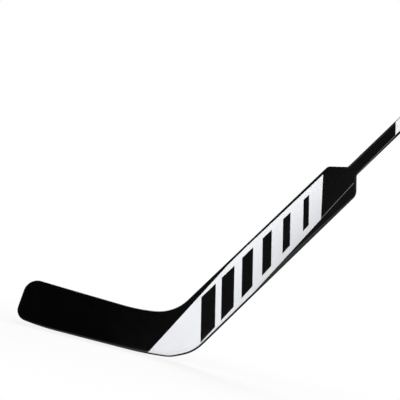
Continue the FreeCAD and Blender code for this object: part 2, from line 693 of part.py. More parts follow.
def white_panels(front, back):
    """White film over paddle and heel on each face, held inside the rounded rim."""
    rim = outline_prism("outline_inside_rim", "Sizes.edge_round")
    panel_lines = [inward(SOLE, f"-{HALF_THICK}"), LOWER_EDGE, PANEL_LOW, PANEL_END, PANEL_TOP, PANEL_INNER]
    shape = region("panel_shape", corners_of(panel_lines), place_at_heel)
    front_layer = cut("front_layer", behind_front("film_face", "-Sizes.film_thick"), front)
    back_layer = cut("back_layer", before_back("film_far_face", "-Sizes.film_thick"), back)
    keep(combine("MultiCommon", "panel_front", shape, rim, front_layer), "front_white_panel")
    keep(combine("MultiCommon", "panel_back", shape, rim, back_layer), "back_white_panel")


def panel_bars(label, lift):
    """Slanted dark bars across the panel, each shorter along the paddle than the one below it."""
    low = inward(PANEL_LOW, "Sizes.bar_margin")
    top = inward(PANEL_TOP, "Sizes.bar_margin")
    pitch = f"(({PANEL_HEIGHT} - Sizes.bar_gap - Sizes.bar_first) / {BAR_COUNT - 1})"
    bars = []
    for index in range(BAR_COUNT):
        middle = f"Sizes.bar_first + {index} * {pitch}"
        half = f"{pitch} * (Sizes.bar_share - {index} * Sizes.bar_step) / 2"
        start = slanted_line(f"{middle} - {half}", "Sizes.bar_slant")
        end = slanted_line(f"{middle} + {half}", "Sizes.bar_slant")
        corners = corners_of([low, end, top, start])
        bars.append(flat_piece(f"{label}_{index + 1}", corners, "Sizes.film_thick", lift, place_at_heel))
    keep(combine("MultiFuse", f"{label}_group", *bars), label)


def pinstripe(label, lift):
    """Thin light line that carries the panel's lower edge on to the shoulder."""
    stripe_top = square_line("(Sizes.paddle_length - Sizes.stripe_gap)")
    upper_line = inward(PANEL_LOW, "Sizes.stripe_width")
    corners = [
        PANEL_LOW_CORNER,
        meet(PANEL_LOW, stripe_top),
        meet(upper_line, stripe_top),
        meet(upper_line, PANEL_END),
    ]
    keep(flat_piece(label, corners, "Sizes.film_thick", lift, place_at_heel), label)


def shaft_band(label, lift):
    """White band on the shaft's face, with slanted ends."""
    lean = "(Sizes.band_half / tan(Sizes.band_slant))"
    start = "(Sizes.paddle_length + Sizes.band_gap)"
    end = f"({start} + Sizes.band_length)"
    corners = [
        (f"{start} - {lean}", "-Sizes.band_half"),
        (f"{end} - {lean}", "-Sizes.band_half"),
        (f"{end} + {lean}", "Sizes.band_half"),
        (f"{start} + {lean}", "Sizes.band_half"),
    ]
    keep(flat_piece(label, corners, "Sizes.film_thick", lift), label)


shaft_tube()
shaft_filling()
for end_name, end_side in (("upper", 1), ("lower", -1)):
    paddle_rail(f"paddle_{end_name}_rail", end_side)
    paddle_core(f"paddle_{end_name}_core", end_side)
    shoulder_block(f"shoulder_{end_name}_block", end_side)
paddle_skin("paddle_front_skin", f"{HALF_THICK} - Sizes.skin_thick")
paddle_skin("paddle_back_skin", f"-{HALF_THICK}")
front_face, back_face = heel_and_blade()
white_panels(front_face, back_face)
panel_bars("front_panel_bars", f"{HALF_THICK} + Sizes.film_thick")
panel_bars("back_panel_bars", f"-{HALF_THICK} - 2 * Sizes.film_thick")
pinstripe("front_pinstripe", HALF_THICK)
pinstripe("back_pinstripe", f"-{HALF_THICK} - Sizes.film_thick")
shaft_band("shaft_front_band", f"{SHAFT_THICK} / 2")
shaft_band("shaft_back_band", f"-{SHAFT_THICK} / 2 - Sizes.film_thick")
doc.recompute()

for item in doc.Objects:
    if "Invalid" in item.State or "Error" in item.State:
        raise RuntimeError(f"{item.Label} failed to build")
for piece in pieces:
    if piece.Shape.isNull() or not piece.Shape.isValid() or not piece.Shape.Solids:
        raise RuntimeError(f"{piece.Label} has no valid solid")

os.makedirs("parts", exist_ok=True)
for piece in pieces:
    piece.Shape.exportStep(f"parts/{piece.Label}.step")
    print(piece.Label, len(piece.Shape.Solids), round(piece.Shape.Volume), "mm3")
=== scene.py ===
# %% [markdown]
# # A hockey goalie stick
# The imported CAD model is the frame: it fixes every size and place. This lesson dresses it. Each outer piece is
# worked out again as a smooth surface with softer edges than the CAD solid has, gets the finish of the real
# stick, and then stands for its CAD node. The foam and wood inside keep their CAD meshes and get a material.

# %% Load the frame
import math

import bmesh
import bpy
import numpy as np
from mathutils import Matrix, Vector


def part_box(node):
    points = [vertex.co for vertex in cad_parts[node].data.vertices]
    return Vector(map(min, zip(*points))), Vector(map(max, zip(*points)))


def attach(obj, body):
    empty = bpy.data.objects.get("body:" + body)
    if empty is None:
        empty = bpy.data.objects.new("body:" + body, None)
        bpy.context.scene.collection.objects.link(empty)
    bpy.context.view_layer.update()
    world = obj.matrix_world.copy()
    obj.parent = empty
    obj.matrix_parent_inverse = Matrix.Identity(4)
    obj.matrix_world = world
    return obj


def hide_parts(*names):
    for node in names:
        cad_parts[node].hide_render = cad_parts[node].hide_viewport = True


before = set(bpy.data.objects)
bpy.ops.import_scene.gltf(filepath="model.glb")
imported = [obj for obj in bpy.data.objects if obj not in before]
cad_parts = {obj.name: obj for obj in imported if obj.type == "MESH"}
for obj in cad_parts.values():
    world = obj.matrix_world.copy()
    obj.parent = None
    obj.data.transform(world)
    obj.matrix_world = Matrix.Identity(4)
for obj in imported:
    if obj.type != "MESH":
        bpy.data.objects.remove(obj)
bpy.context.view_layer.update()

# %% [markdown]
# ## One pair of coordinates for the paddle, one for the blade
# A goalie stick is drawn from its heel, the corner where paddle and blade would meet if they weren't rounded.
# Points on the paddle and shaft are a height s along the shaft's axis and a distance q across it. Points on
# the heel and blade are x and z from the heel corner. All lengths here are millimetres, and only the last
# step into a mesh turns them to metres, so that the numbers read like those on a workshop drawing.

# %% Main sizes and the paddle's coordinates
LIE = math.radians(58.2)  # angle between the shaft and the floor
TAPER = math.radians(0.24)  # lean of each paddle edge towards the axis
PADDLE_WIDTH = 85.0
PADDLE_LENGTH = 510.0
STICK_LENGTH = 1250.0
SEAM = 100.0  # height at which the rails of the paddle start
SHOULDER_FOOT = 470.0  # height at which the rails end and the shoulders start
HALF_THICK = 10.0
SKIN = 1.2
EDGE_WIDTH = 8.0
HALF_SHAFT = 12.15
SHAFT_HALF_THICK = HALF_THICK - SKIN

BLADE_JOINT = 105.0
TONGUE_REACH = 30.0
HEEL_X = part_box("blade_tongue")[0][0] * 1000 + TONGUE_REACH + BLADE_JOINT
AXIS_FOOT = (-PADDLE_WIDTH / 2 * math.sin(LIE), PADDLE_WIDTH / 2 * math.cos(LIE))


def half_width(s):
    """Half the paddle's width: it narrows by the same small angle on both edges."""
    return PADDLE_WIDTH / 2 - s * math.tan(TAPER)


def on_paddle(s, q):
    """Paddle to heel coordinates: from the axis' foot go s along the axis, then q square to it."""
    x = AXIS_FOOT[0] + s * math.cos(LIE) - q * math.sin(LIE)
    z = AXIS_FOOT[1] + s * math.sin(LIE) + q * math.cos(LIE)
    return x, z


print("heel corner at x =", round(HEEL_X, 2), "mm")

# %% [markdown]
# ## The outline
# The silhouette is straight lines joined by arcs. It could be typed in as a long list of points, but then nobody
# could change it. Here each line is a point and a heading, each corner has its radius, and the arcs follow: an
# arc leaves the first line at radius times tan(half the turn) before the corner and joins the second line as
# far behind it.

# %% A path of lines and arcs
def crossing(first, second):
    """Where two lines meet: go along the first until its distance from the second, square to it, is used up."""
    (x1, z1, a1), (x2, z2, a2) = first, second
    along = ((x2 - x1) * math.sin(a2) - (z2 - z1) * math.cos(a2)) / math.sin(a2 - a1)
    return np.array([x1 + along * math.cos(a1), z1 + along * math.sin(a1)])


def straight_run(start, end, step=0.5):
    """Points from start to end, about one step apart: start plus a share of the way."""
    count = max(2, int(np.linalg.norm(end - start) / step))
    return start + (end - start) * np.linspace(0, 1, count)[:, None]


def rounded_path(start, lines, radii, end, step=0.5):
    """Coordinates and headings along lines with rounded corners, and the length run so far.

    An arc's centre lies one radius square to the first line. Its points are the centre plus the radius
    times the sine and minus the cosine of the heading.
    """
    runs, headings, here = [], [], np.array(start)
    for line, following, radius in zip(lines, lines[1:], radii):
        turn = (following[2] - line[2] + math.pi) % (2 * math.pi) - math.pi
        way = np.array([math.cos(line[2]), math.sin(line[2])])
        first = crossing(line, following) - way * radius * math.tan(abs(turn) / 2)
        if (first - here) @ way < 0:
            raise ValueError("the arcs of two corners overlap")
        straight = straight_run(here, first)
        reach = math.copysign(radius, turn)
        angles = line[2] + np.linspace(0, turn, max(4, int(radius * abs(turn) / step)))
        centre = first + reach * np.array([-way[1], way[0]])
        arc = centre + reach * np.stack([np.sin(angles), -np.cos(angles)], axis=-1)
        runs += [straight[:-1], arc]
        headings += [np.full(len(straight) - 1, line[2]), angles]
        here = arc[-1]
    straight = straight_run(here, np.array(end))[1:]
    runs.append(straight)
    headings.append(np.full(len(straight), lines[-1][2]))
    path = np.concatenate(runs)
    length = np.concatenate([[0], np.cumsum(np.hypot(*np.diff(path, axis=0).T))])
    return path[:, 0], path[:, 1], np.unwrap(np.concatenate(headings)), length


trial = rounded_path((0.0, 0.0), [(0.0, 0.0, 0.0), (20.0, 0.0, math.pi / 2)], [10.0], (20.0, 20.0))
print("a 10 mm corner between two 20 mm sides is", round(trial[3][-1], 2), "mm long")

# %% [markdown]
# The rim runs against the clock, so that the inside is on its left: down the paddle's upper edge, round the
# throat, along the top of the blade, round the toe, back along the sole, round the heel and up the lower edge.
# The throat turns in two arcs and the heel in three: with fewer, the outline was up to a millimetre off.

# %% The rim of paddle, heel and blade
BLADE_LENGTH = 351.0
RISE_START = 264.0  # where the sole starts to rise towards the toe
RISE_RADIUS = 528.0
RISE_TURN = math.radians(6.857)
RISE_END = (-RISE_START - RISE_RADIUS * math.sin(RISE_TURN), RISE_RADIUS * (1 - math.cos(RISE_TURN)))

UPPER_HEADING = LIE - TAPER + math.pi
LOWER_HEADING = LIE + TAPER
TOP_HEADING = math.radians(178)
TOE_HEADING = math.radians(264.4)
UPPER_LINE = (-PADDLE_WIDTH * math.sin(LIE), PADDLE_WIDTH * math.cos(LIE), UPPER_HEADING)
THROAT_LINE = (-110.0, 82.5, math.radians(188.4))
TOP_LINE = (0.0, 78.1, TOP_HEADING)
TOE_LINE = (-BLADE_LENGTH, 0.0, TOE_HEADING)
RISE_LINE = (*RISE_END, -RISE_TURN)
SOLE_LINE = (0.0, 0.0, 0.0)
HEEL_LINES = [(-76.4, 0.0, math.radians(6.3)), (-39.3, 0.0, math.radians(25.3))]
LOWER_LINE = (0.0, 0.0, LOWER_HEADING)
THROAT_RADII, TOE_RADII, HEEL_RADII = [82.2, 361.0], [29.0, 21.5], [655.0, 72.0, 79.0]

rim_x, rim_z, rim_heading, rim_length = rounded_path(
    on_paddle(PADDLE_LENGTH, half_width(PADDLE_LENGTH)),
    [UPPER_LINE, THROAT_LINE, TOP_LINE, TOE_LINE, RISE_LINE, SOLE_LINE, *HEEL_LINES, LOWER_LINE],
    [*THROAT_RADII, *TOE_RADII, RISE_RADIUS, *HEEL_RADII],
    on_paddle(PADDLE_LENGTH, -half_width(PADDLE_LENGTH)),
)
toe_index = int(np.argmin(rim_x))
TOE_MIDDLE = rim_length[toe_index]
print("rim", round(rim_length[-1]), "mm round, toe at", round(rim_x.min(), 1), "mm from the heel")

# %% [markdown]
# Pieces meet at joints along the rim, and a place on the stick is a length along the rim and a distance inwards.
# Inwards could be simply square to the rim. But the paddle's two edges lean by the taper, and a joint across the
# paddle would then have a kink, so on those edges it is square to the axis instead.

# %% Places along the rim
TOE_JOINT = 300.0
HEEL_START = math.radians(369)  # heading on the heel from which inwards turns towards square to the axis
FULL_TURN = 2 * math.pi
rim_inward = math.pi / 2 + np.interp(
    rim_heading,
    [TOP_HEADING, UPPER_HEADING, TOE_HEADING, HEEL_START, LOWER_HEADING + FULL_TURN],
    [TOP_HEADING, LIE + math.pi, TOE_HEADING, HEEL_START, LIE + FULL_TURN],
)


def rim_station(x, upper):
    """Length along the rim where it passes x, on its upper half (running to the toe) or its lower half."""
    if upper:
        return np.interp(-np.asarray(x), -rim_x[: toe_index + 1], rim_length[: toe_index + 1])
    return np.interp(x, rim_x[toe_index:], rim_length[toe_index:])


def from_rim(t, d):
    """Heel coordinates of a point at length t along the rim and a distance d inwards from it."""
    angle = np.interp(t, rim_length, rim_inward)
    x = np.interp(t, rim_length, rim_x) + d * np.cos(angle)
    z = np.interp(t, rim_length, rim_z) + d * np.sin(angle)
    return x, z


UPPER_SEAM = rim_station(on_paddle(SEAM, half_width(SEAM))[0], True)
LOWER_SEAM = rim_station(on_paddle(SEAM, -half_width(SEAM))[0], False)
UPPER_JOINT, LOWER_JOINT = rim_station(-BLADE_JOINT, True), rim_station(-BLADE_JOINT, False)
UPPER_TOE, LOWER_TOE = rim_station(-TOE_JOINT, True), rim_station(-TOE_JOINT, False)
print("the heel strip runs", round(LOWER_SEAM - LOWER_JOINT), "mm along the rim")

# %% [markdown]
# ## The two faces and their edges
# The printed face is flat down to a slanted line across the blade and then bends away in one wide arc. The
# far face starts to run in earlier, because the blade is thinner than the paddle, and is hollow past the line.
# Both could be sculpted, but as two curves of one distance, xi, square to the bend line they stay exact.

# %% Depth of the two faces
BEND_LEAN = math.radians(43)
BEND_START = 85.0
BEND_RADIUS = 760.0
BREAK_START = -40.0
BREAK_RADIUS = 600.0
ROOT_DEPTH = 3.0
TIP_THICK = 8.0


def bend_distance(x, z):
    """xi: how far a point lies past the heel corner, square to the bend line and towards the toe."""
    return -x * math.cos(BEND_LEAN) - z * math.sin(BEND_LEAN)


def arc_depth(past):
    """y of the printed face a distance past the bend line: radius minus the root of radius^2 - past^2."""
    return -HALF_THICK + BEND_RADIUS - np.sqrt(BEND_RADIUS**2 - past**2)


def front_depth(x, z):
    """y of the printed face: a plane, then an arc that touches the plane at the bend line."""
    return arc_depth(np.maximum(bend_distance(x, z) - BEND_START, 0))


def far_face_curve():
    """Where the far face's soft break ends, and the centre and radius of its hollow, from the same tangents."""
    reach = np.array([BEND_START - BREAK_START, ROOT_DEPTH - HALF_THICK + BREAK_RADIUS])
    square = math.atan2(reach[1], reach[0]) + math.acos(BREAK_RADIUS / np.hypot(*reach))
    normal = np.array([math.cos(square), math.sin(square)])
    tip_past = BLADE_LENGTH * math.cos(BEND_LEAN) - BEND_START
    tip = np.array([tip_past, arc_depth(tip_past) + TIP_THICK - ROOT_DEPTH])
    radius = tip @ tip / (2 * tip @ normal)
    return BREAK_START + BREAK_RADIUS * normal[0], np.array([BEND_START, ROOT_DEPTH]) + radius * normal, radius


BREAK_END, HOLLOW_CENTRE, HOLLOW_RADIUS = far_face_curve()


def far_depth(x, z):
    """y of the far face: a plane, an arc that breaks it, a straight taper, then the hollow arc."""
    xi = bend_distance(x, z)
    turned = np.clip(xi, BREAK_START, BREAK_END) - BREAK_START
    broken = HALF_THICK - BREAK_RADIUS + np.sqrt(BREAK_RADIUS**2 - turned**2)
    break_depth = HALF_THICK - BREAK_RADIUS + math.sqrt(BREAK_RADIUS**2 - (BREAK_END - BREAK_START) ** 2)
    taper = np.interp(xi, [BREAK_END, BEND_START], [break_depth, ROOT_DEPTH])
    off = np.clip(xi - HOLLOW_CENTRE[0], -HOLLOW_RADIUS, HOLLOW_RADIUS)
    hollow = HOLLOW_CENTRE[1] - np.sqrt(HOLLOW_RADIUS**2 - off**2)
    return np.where(xi < BREAK_END, broken, np.where(xi < BEND_START, taper, hollow))


print("hollow radius", round(HOLLOW_RADIUS), "mm")

# %% [markdown]
# Along the lower edge the stick is bevelled, widest at the heel, where it rubs on the ice, and every edge ends in
# a small round. A Bevel modifier gives one width all along. Here the bevel is a fall of the face, worked out from
# the distance to the rim and from a width that changes from place to place.

# %% Fall of the edges
EDGE_ROUND = 1.2
BEVEL_SLOPE = math.tan(math.radians(20))
BEVEL_SOFT = 0.8  # how far the bevel's start is spread out
BEVEL_PLACES = (-340, -300, -240, -160, -110, -80, -20, 25, 48, 158, 183, 209, 230, 246, 267)
BEVEL_WIDTHS = (0.0, 2.2, 3.2, 3.6, 5.0, 5.6, 11.0, 11.0, 10.2, 8.6, 7.6, 5.8, 4.6, 3.8, 0.0)


def bevel_width(x):
    """Width of the bevel along the lower edge: nothing at the toe and the shoulder, most at the heel."""
    return np.interp(x, BEVEL_PLACES, BEVEL_WIDTHS)


def edge_fall(d, bevel, radius):
    """How far a face falls back at a distance d from the rim: a bevel that starts softly, plus a quarter round."""
    run = bevel - d
    slope = np.where(bevel > 0, BEVEL_SLOPE, 0.0)
    inside = np.clip(radius - d, 0, radius)
    return slope * (run + np.sqrt(run**2 + BEVEL_SOFT**2)) / 2 + radius - np.sqrt(radius**2 - inside**2)


print("the heel's bevel falls", round(float(edge_fall(0.0, max(BEVEL_WIDTHS), EDGE_ROUND)), 2), "mm to the rim")

# %% [markdown]
# ## From arrays to meshes
# Every outer piece is a loft: a closed section carried along a path, with a cap at each end. The sections of a
# piece are one array, path by section by three, so the faces are index arithmetic and no vertex is visited one
# by one. Points that fall together, as at the end of the toe, are merged, and the normals are turned outwards.

# %% Faces and sections of a loft
def loft_faces(rows, columns, first, endless):
    """Quads between each ring and the next, with the section closed on itself, and one face over each end.

    An endless loft, such as the wall of a tube, has no ends: its last ring is joined to its first.
    """
    row, column = np.meshgrid(np.arange(rows if endless else rows - 1), np.arange(columns), indexing="ij")
    next_row, next_column = (row + 1) % rows, (column + 1) % columns
    corners = [row * columns + column, row * columns + next_column]
    corners += [next_row * columns + next_column, next_row * columns + column]
    quads = (np.stack(corners, axis=-1).reshape(-1, 4) + first).tolist()
    start = np.arange(columns)[::-1] + first
    end = np.arange(columns) + first + (rows - 1) * columns
    return quads if endless else quads + [start.tolist(), end.tolist()]


def points(x, y, z):
    """Heel coordinates as one array of points in the stick's own frame."""
    x, y, z = np.broadcast_arrays(x, y, z)
    return np.stack([x + HEEL_X, y, z], axis=-1)


def sheet_rings(outer, inner):
    """Closed sections of a thin layer: out along its outer side, back along its inner side."""
    return np.concatenate([outer, inner[:, ::-1]], axis=1)


print("three rings of eight points make", len(loft_faces(3, 8, 0, False)), "faces")

# %% Turn lofts into pieces
MERGE_DISTANCE = 1e-7
CREASE = math.radians(35)  # edges that turn by more than this stay sharp


def add_piece(name, lofts, material, nodes=(), endless=False):
    """One object from lofts in millimetres: it rides on the stick and stands for CAD nodes."""
    vertices, faces, first = [], [], 0
    for rings in lofts:
        rows, columns = rings.shape[:2]
        vertices.append(rings.reshape(-1, 3) / 1000)
        faces += loft_faces(rows, columns, first, endless)
        first += rows * columns
    mesh = bpy.data.meshes.new(name)
    mesh.from_pydata(np.concatenate(vertices).tolist(), [], faces)
    form = bmesh.new()
    form.from_mesh(mesh)
    bmesh.ops.remove_doubles(form, verts=form.verts, dist=MERGE_DISTANCE)
    bmesh.ops.recalc_face_normals(form, faces=form.faces)
    form.to_mesh(mesh)
    form.free()
    mesh.validate()
    mesh.polygons.foreach_set("use_smooth", np.ones(len(mesh.polygons), bool))
    mesh.set_sharp_from_angle(angle=CREASE)
    mesh.materials.append(material)
    piece = bpy.data.objects.new(name, mesh)
    bpy.context.collection.objects.link(piece)
    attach(piece, "root")
    if nodes:
        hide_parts(*nodes)
    print(name, len(mesh.vertices), "points")


# %% [markdown]
# ## Finishes
# A new stick is sprayed: black lacquer over glass-fibre laminate, with white film and inks under a clear coat.
# Such a surface could be one black colour, but paint is never that even. The eye reads it from three things: a
# drift in tone over a hand's width, the faint ripple of sprayed lacquer called orange peel, and a gloss that
# varies a little with how it was wiped. All three are noise, each at its own real size.

# %% Colours and nodes
def linear(hex_colour):
    """An sRGB hex value as linear red, green, blue and a full alpha."""
    parts = np.array([int(hex_colour[i : i + 2], 16) for i in (1, 3, 5)]) / 255
    return (*np.where(parts <= 0.04045, parts / 12.92, ((parts + 0.055) / 1.055) ** 2.4), 1.0)


def add_node(tree, kind, inputs=(), **settings):
    """Add one node: settings are its own properties, inputs are values or sockets for its inputs."""
    node = tree.nodes.new(kind)
    for name, value in settings.items():
        setattr(node, name, value)
    for name, value in dict(inputs).items():
        if isinstance(value, bpy.types.NodeSocket):
            tree.links.new(value, node.inputs[name])
        else:
            node.inputs[name].default_value = value
    return node


def per_metre(size_mm):
    """Texture scale on Object coordinates, which are metres, for a pattern that repeats every size_mm."""
    return 1000.0 / size_mm


def new_material(name):
    """An empty material: its node tree, its Principled shader and its Object coordinates."""
    material = bpy.data.materials.new(name)
    material.use_nodes = True
    tree = material.node_tree
    shader = tree.nodes["Principled BSDF"]
    place = add_node(tree, "ShaderNodeTexCoord").outputs["Object"]
    return material, tree, shader, place


print("the grey #808080 is", round(float(linear("#808080")[0]), 3), "in linear light")

# %% [markdown]
# Glass cloth prints through the lacquer as a weave that shows only where a light grazes it. It could be modelled
# thread by thread, but at this depth only the direction of the surface matters, so it is a bump. The threads run
# at 45 degrees to the shaft, as they are laid in a stick that has to resist twisting.

# %% Cloth under the lacquer
# Thread spacing of glass cloth and how deep it shows through; drawn a little deeper than real, to show at all.
THREAD_SPACING = 2.4
THREAD_RELIEF = 0.02
# A Wave texture repeats every 2 pi / 20 of its own units.
WAVE_UNIT = math.pi / 10


def cloth_relief(tree, place):
    """Normals of woven cloth under lacquer: two crossed sine waves, multiplied, at 45 degrees to the shaft."""
    turned = add_node(tree, "ShaderNodeMapping", {"Vector": place, "Rotation": (0.0, LIE + math.pi / 4, 0.0)})
    thread = {"Vector": turned.outputs[0], "Scale": per_metre(THREAD_SPACING) * WAVE_UNIT}
    warp, weft = (add_node(tree, "ShaderNodeTexWave", thread, bands_direction=way) for way in "XZ")
    crossed = {0: warp.outputs["Fac"], 1: weft.outputs["Fac"]}
    height = add_node(tree, "ShaderNodeMath", crossed, operation="MULTIPLY")
    relief = {"Height": height.outputs[0], "Strength": 0.5, "Distance": THREAD_RELIEF / 1000}
    return add_node(tree, "ShaderNodeBump", relief).outputs[0]


print("threads every", THREAD_SPACING, "mm,", THREAD_RELIEF, "mm deep")

# %% [markdown]
# Lacquer, film, ink and moulded plastic differ in colour, gloss and grain, but all drift, ripple and shine in the
# same way. Each could have a node tree of its own. One function makes them all, so that they belong together.

# %% A sprayed coat
PEEL_WIDTH, PEEL_DEPTH = 3.0, 0.01
LACQUER_GLOSS = (0.04, 0.09)  # roughness where it was wiped most and least
COAT_IOR = 1.5
NOISE_LOW, NOISE_HIGH = 0.3, 0.7  # nearly all values of a noise lie between these
WIPES_PER_DRIFT = 3


def sprayed(
    name, deep, pale, drift_mm, gloss=LACQUER_GLOSS, peel_mm=PEEL_WIDTH, peel_depth=PEEL_DEPTH, cloth=False
):
    """A sprayed coat: tone drifts between two colours, gloss between two roughnesses, and lacquer ripples."""
    material, tree, shader, place = new_material(name)
    wide = {"Vector": place, "Scale": per_metre(drift_mm), "Detail": 4.0, "Roughness": 0.6}
    drift = add_node(tree, "ShaderNodeTexNoise", wide)
    shades = {0: drift.outputs[0], 6: linear(deep), 7: linear(pale)}
    tone = add_node(tree, "ShaderNodeMix", shades, data_type="RGBA")
    narrow = {"Vector": place, "Scale": per_metre(drift_mm / WIPES_PER_DRIFT), "Detail": 5.0}
    wipe = add_node(tree, "ShaderNodeTexNoise", narrow)
    spread = {"Value": wipe.outputs[0], "From Min": NOISE_LOW, "From Max": NOISE_HIGH}
    rough = add_node(tree, "ShaderNodeMapRange", spread | {"To Min": gloss[0], "To Max": gloss[1]})
    peel = add_node(tree, "ShaderNodeTexNoise", {"Vector": place, "Scale": per_metre(peel_mm), "Detail": 2.0})
    ripple = {"Height": peel.outputs[0], "Strength": 0.25, "Distance": peel_depth / 1000}
    if cloth:
        ripple["Normal"] = cloth_relief(tree, place)
    bump = add_node(tree, "ShaderNodeBump", ripple)
    tree.links.new(tone.outputs[2], shader.inputs["Base Color"])
    tree.links.new(rough.outputs[0], shader.inputs["Roughness"])
    tree.links.new(bump.outputs[0], shader.inputs["Normal"])
    shader.inputs["IOR"].default_value = COAT_IOR
    print(name, "from", deep, "to", pale)
    return material


print("orange peel every", PEEL_WIDTH, "mm,", PEEL_DEPTH, "mm deep")

# %% Lacquers, films, inks and plastic
FILM_GLOSS, INK_GLOSS = (0.16, 0.26), (0.1, 0.16)
FLAKE_GLOSS, MOULD_GLOSS = (0.3, 0.42), (0.5, 0.62)
# Two-pack polyurethane lacquer, sprayed and left to level: deep black with mirror-like edges.
BLADE_LACQUER = sprayed("black_lacquer_on_blade_laminate", "#020202", "#060606", 90, cloth=True)
# The same lacquer on the paddle and shaft, over a filler coat that leaves it a shade greyer.
BODY_LACQUER = sprayed("black_lacquer_on_paddle_laminate", "#050505", "#090909", 120, cloth=True)
# Edges are sanded smooth before spraying: no cloth shows through, and the tone changes over a shorter way.
EDGE_LACQUER = sprayed("black_lacquer_on_sanded_edges", "#030303", "#070707", 60)
# Polyester film printed white under clear lacquer: cool white, slightly uneven where ink lies thinner. Further
# down, a painted shade is mixed into it.
PANEL_FILM = sprayed("white_polyester_film_with_painted_shade", "#eceef1", "#f2f4f7", 45, FILM_GLOSS)
# The shaft's film is the same stock, wrapped tightly round a corner, and its white is a little thinner.
BAND_FILM = sprayed("white_printed_polyester_film", "#e5e6e8", "#ebecee", 45, FILM_GLOSS)
# Screen-printed black ink on that film: dense, and a touch less glossy than the lacquer.
BLACK_INK = sprayed("black_screen_ink_on_film", "#050506", "#09090a", 30, INK_GLOSS, 2.0, 0.015)
# Silver-grey ink: flat aluminium flakes in a clear binder give a soft grey that changes little with the light.
SILVER_INK = sprayed("silver_grey_screen_ink", "#62656a", "#73767b", 4, FLAKE_GLOSS, 1.0)
# Moulded ABS: spark-eroded mould walls leave a fine even grain and a dull sheen.
PLUG_PLASTIC = sprayed("moulded_abs_plug", "#131314", "#1b1b1c", 8, MOULD_GLOSS, 0.8, 0.06)

# %% [markdown]
# The white isn't even. At the heel it is full, and up the paddle it greys towards the lower edge: that greying is
# painted shade, mixed into the film's colour. A gradient texture could do one direction only. Here the Object
# coordinates are turned until one of them runs up the shaft and one across it, and the painted shade is the
# product of two ramps.

# %% Painted shade on the white film
# Painted shade on the white panel: where it starts and where it is full, up the shaft and across it, and its grey
# colour.
PAINTED_SHADE_START, PAINTED_SHADE_FULL = 60.0, 320.0
PAINTED_SHADE_LOW, PAINTED_SHADE_HIGH = -32.0, 40.0
PAINTED_SHADE_COLOUR = "#cfd1d5"


def paint_shade_on_white(material, shade):
    """Mix a painted shade into the film's colour: the share is a ramp up the shaft times a ramp across it."""
    tree = material.node_tree
    shader = tree.nodes["Principled BSDF"]
    print_tone = shader.inputs["Base Color"].links[0].from_socket
    foot = Vector((HEEL_X + AXIS_FOOT[0], 0.0, AXIS_FOOT[1])) / 1000
    turn = Matrix.Rotation(LIE, 3, "Y")
    place = add_node(tree, "ShaderNodeTexCoord").outputs["Object"]
    turned = add_node(
        tree, "ShaderNodeMapping", {"Vector": place, "Location": -(turn @ foot), "Rotation": (0.0, LIE, 0.0)}
    )
    parts = add_node(tree, "ShaderNodeSeparateXYZ", {0: turned.outputs[0]})
    ramps = []
    for axis, none, full in (("X", PAINTED_SHADE_START, PAINTED_SHADE_FULL), ("Z", PAINTED_SHADE_HIGH, PAINTED_SHADE_LOW)):
        ends = {"Value": parts.outputs[axis], "From Min": none / 1000, "From Max": full / 1000}
        ramps.append(add_node(tree, "ShaderNodeMapRange", ends).outputs[0])
    share = add_node(tree, "ShaderNodeMath", {0: ramps[0], 1: ramps[1]}, operation="MULTIPLY")
    tones = {0: share.outputs[0], 6: print_tone, 7: linear(shade)}
    mixed = add_node(tree, "ShaderNodeMix", tones, data_type="RGBA")
    tree.links.new(mixed.outputs[2], shader.inputs["Base Color"])


# The panel film gets its painted shade here.
paint_shade_on_white(PANEL_FILM, PAINTED_SHADE_COLOUR)
print("white fades between", PAINTED_SHADE_START, "and", PAINTED_SHADE_FULL, "mm up the shaft")

# %% [markdown]
# ## Edge strips of heel and blade
# The blade is framed by a hard edge, 8 mm wide, that takes the knocks of posts and skates. It could be a bevel
# modifier on a flat plate, but the bevel changes its width all the way round. So its section is worked out at
# each place along the rim: in along the printed face, down the bevel and the round, across and back again.

# %% Strips along the rim
ROUND_STEPS = np.linspace(0, math.pi / 2, 9)
FLAT_STEPS = np.linspace(1, 0, 11)[:-1]
# Distances from the rim, from the strip's inner side to the rim itself; the round is stepped by its angle.
ROUND_INSETS = EDGE_ROUND * (1 - np.sin(ROUND_STEPS))
STRIP_INSETS = np.concatenate([EDGE_ROUND + (EDGE_WIDTH - EDGE_ROUND) * FLAT_STEPS, ROUND_INSETS])


def bevel_on_rim(t):
    """The bevel's width at a length along the rim; the upper half of the rim has none."""
    return np.where(t > TOE_MIDDLE, bevel_width(np.interp(t, rim_length, rim_x)), 0.0)


def strip_rings(start, end, step=2.5):
    """Sections of an edge strip: the printed face from inside to the rim, then the far face back inside."""
    t = np.linspace(start, end, max(3, int((end - start) / step)))[:, None]
    x, z = from_rim(t, STRIP_INSETS)
    fall = edge_fall(STRIP_INSETS, bevel_on_rim(t), EDGE_ROUND)
    front = points(x, front_depth(x, z) + fall, z)
    far = points(x, far_depth(x, z) - fall, z)
    return sheet_rings(front, far)


for node, start, end in (
    ("throat_strip", UPPER_SEAM, UPPER_JOINT),
    ("blade_top_strip", UPPER_JOINT, UPPER_TOE),
    ("toe_strip", UPPER_TOE, LOWER_TOE),
    ("blade_sole_strip", LOWER_TOE, LOWER_JOINT),
    ("heel_strip", LOWER_JOINT, LOWER_SEAM),
):
    add_piece(node + "_lacquered", [strip_rings(start, end)], EDGE_LACQUER, [node])

# %% [markdown]
# ## Skins of heel and blade
# Inside the strips lie the laminate skins. A flat plate could be bent over the core with a modifier, but it
# wouldn't meet the strips. So a skin is a ruled surface: straight lines from the lower strip to the upper one, one
# line for each place along both. Its depth comes from the same two faces as the strips, so the joint doesn't
# show, as on the real stick, where lacquer covers it.

# %% Ruled skins
ACROSS = np.linspace(0, 1, 41)
FACES = (("front", front_depth, -1), ("back", far_depth, 1))


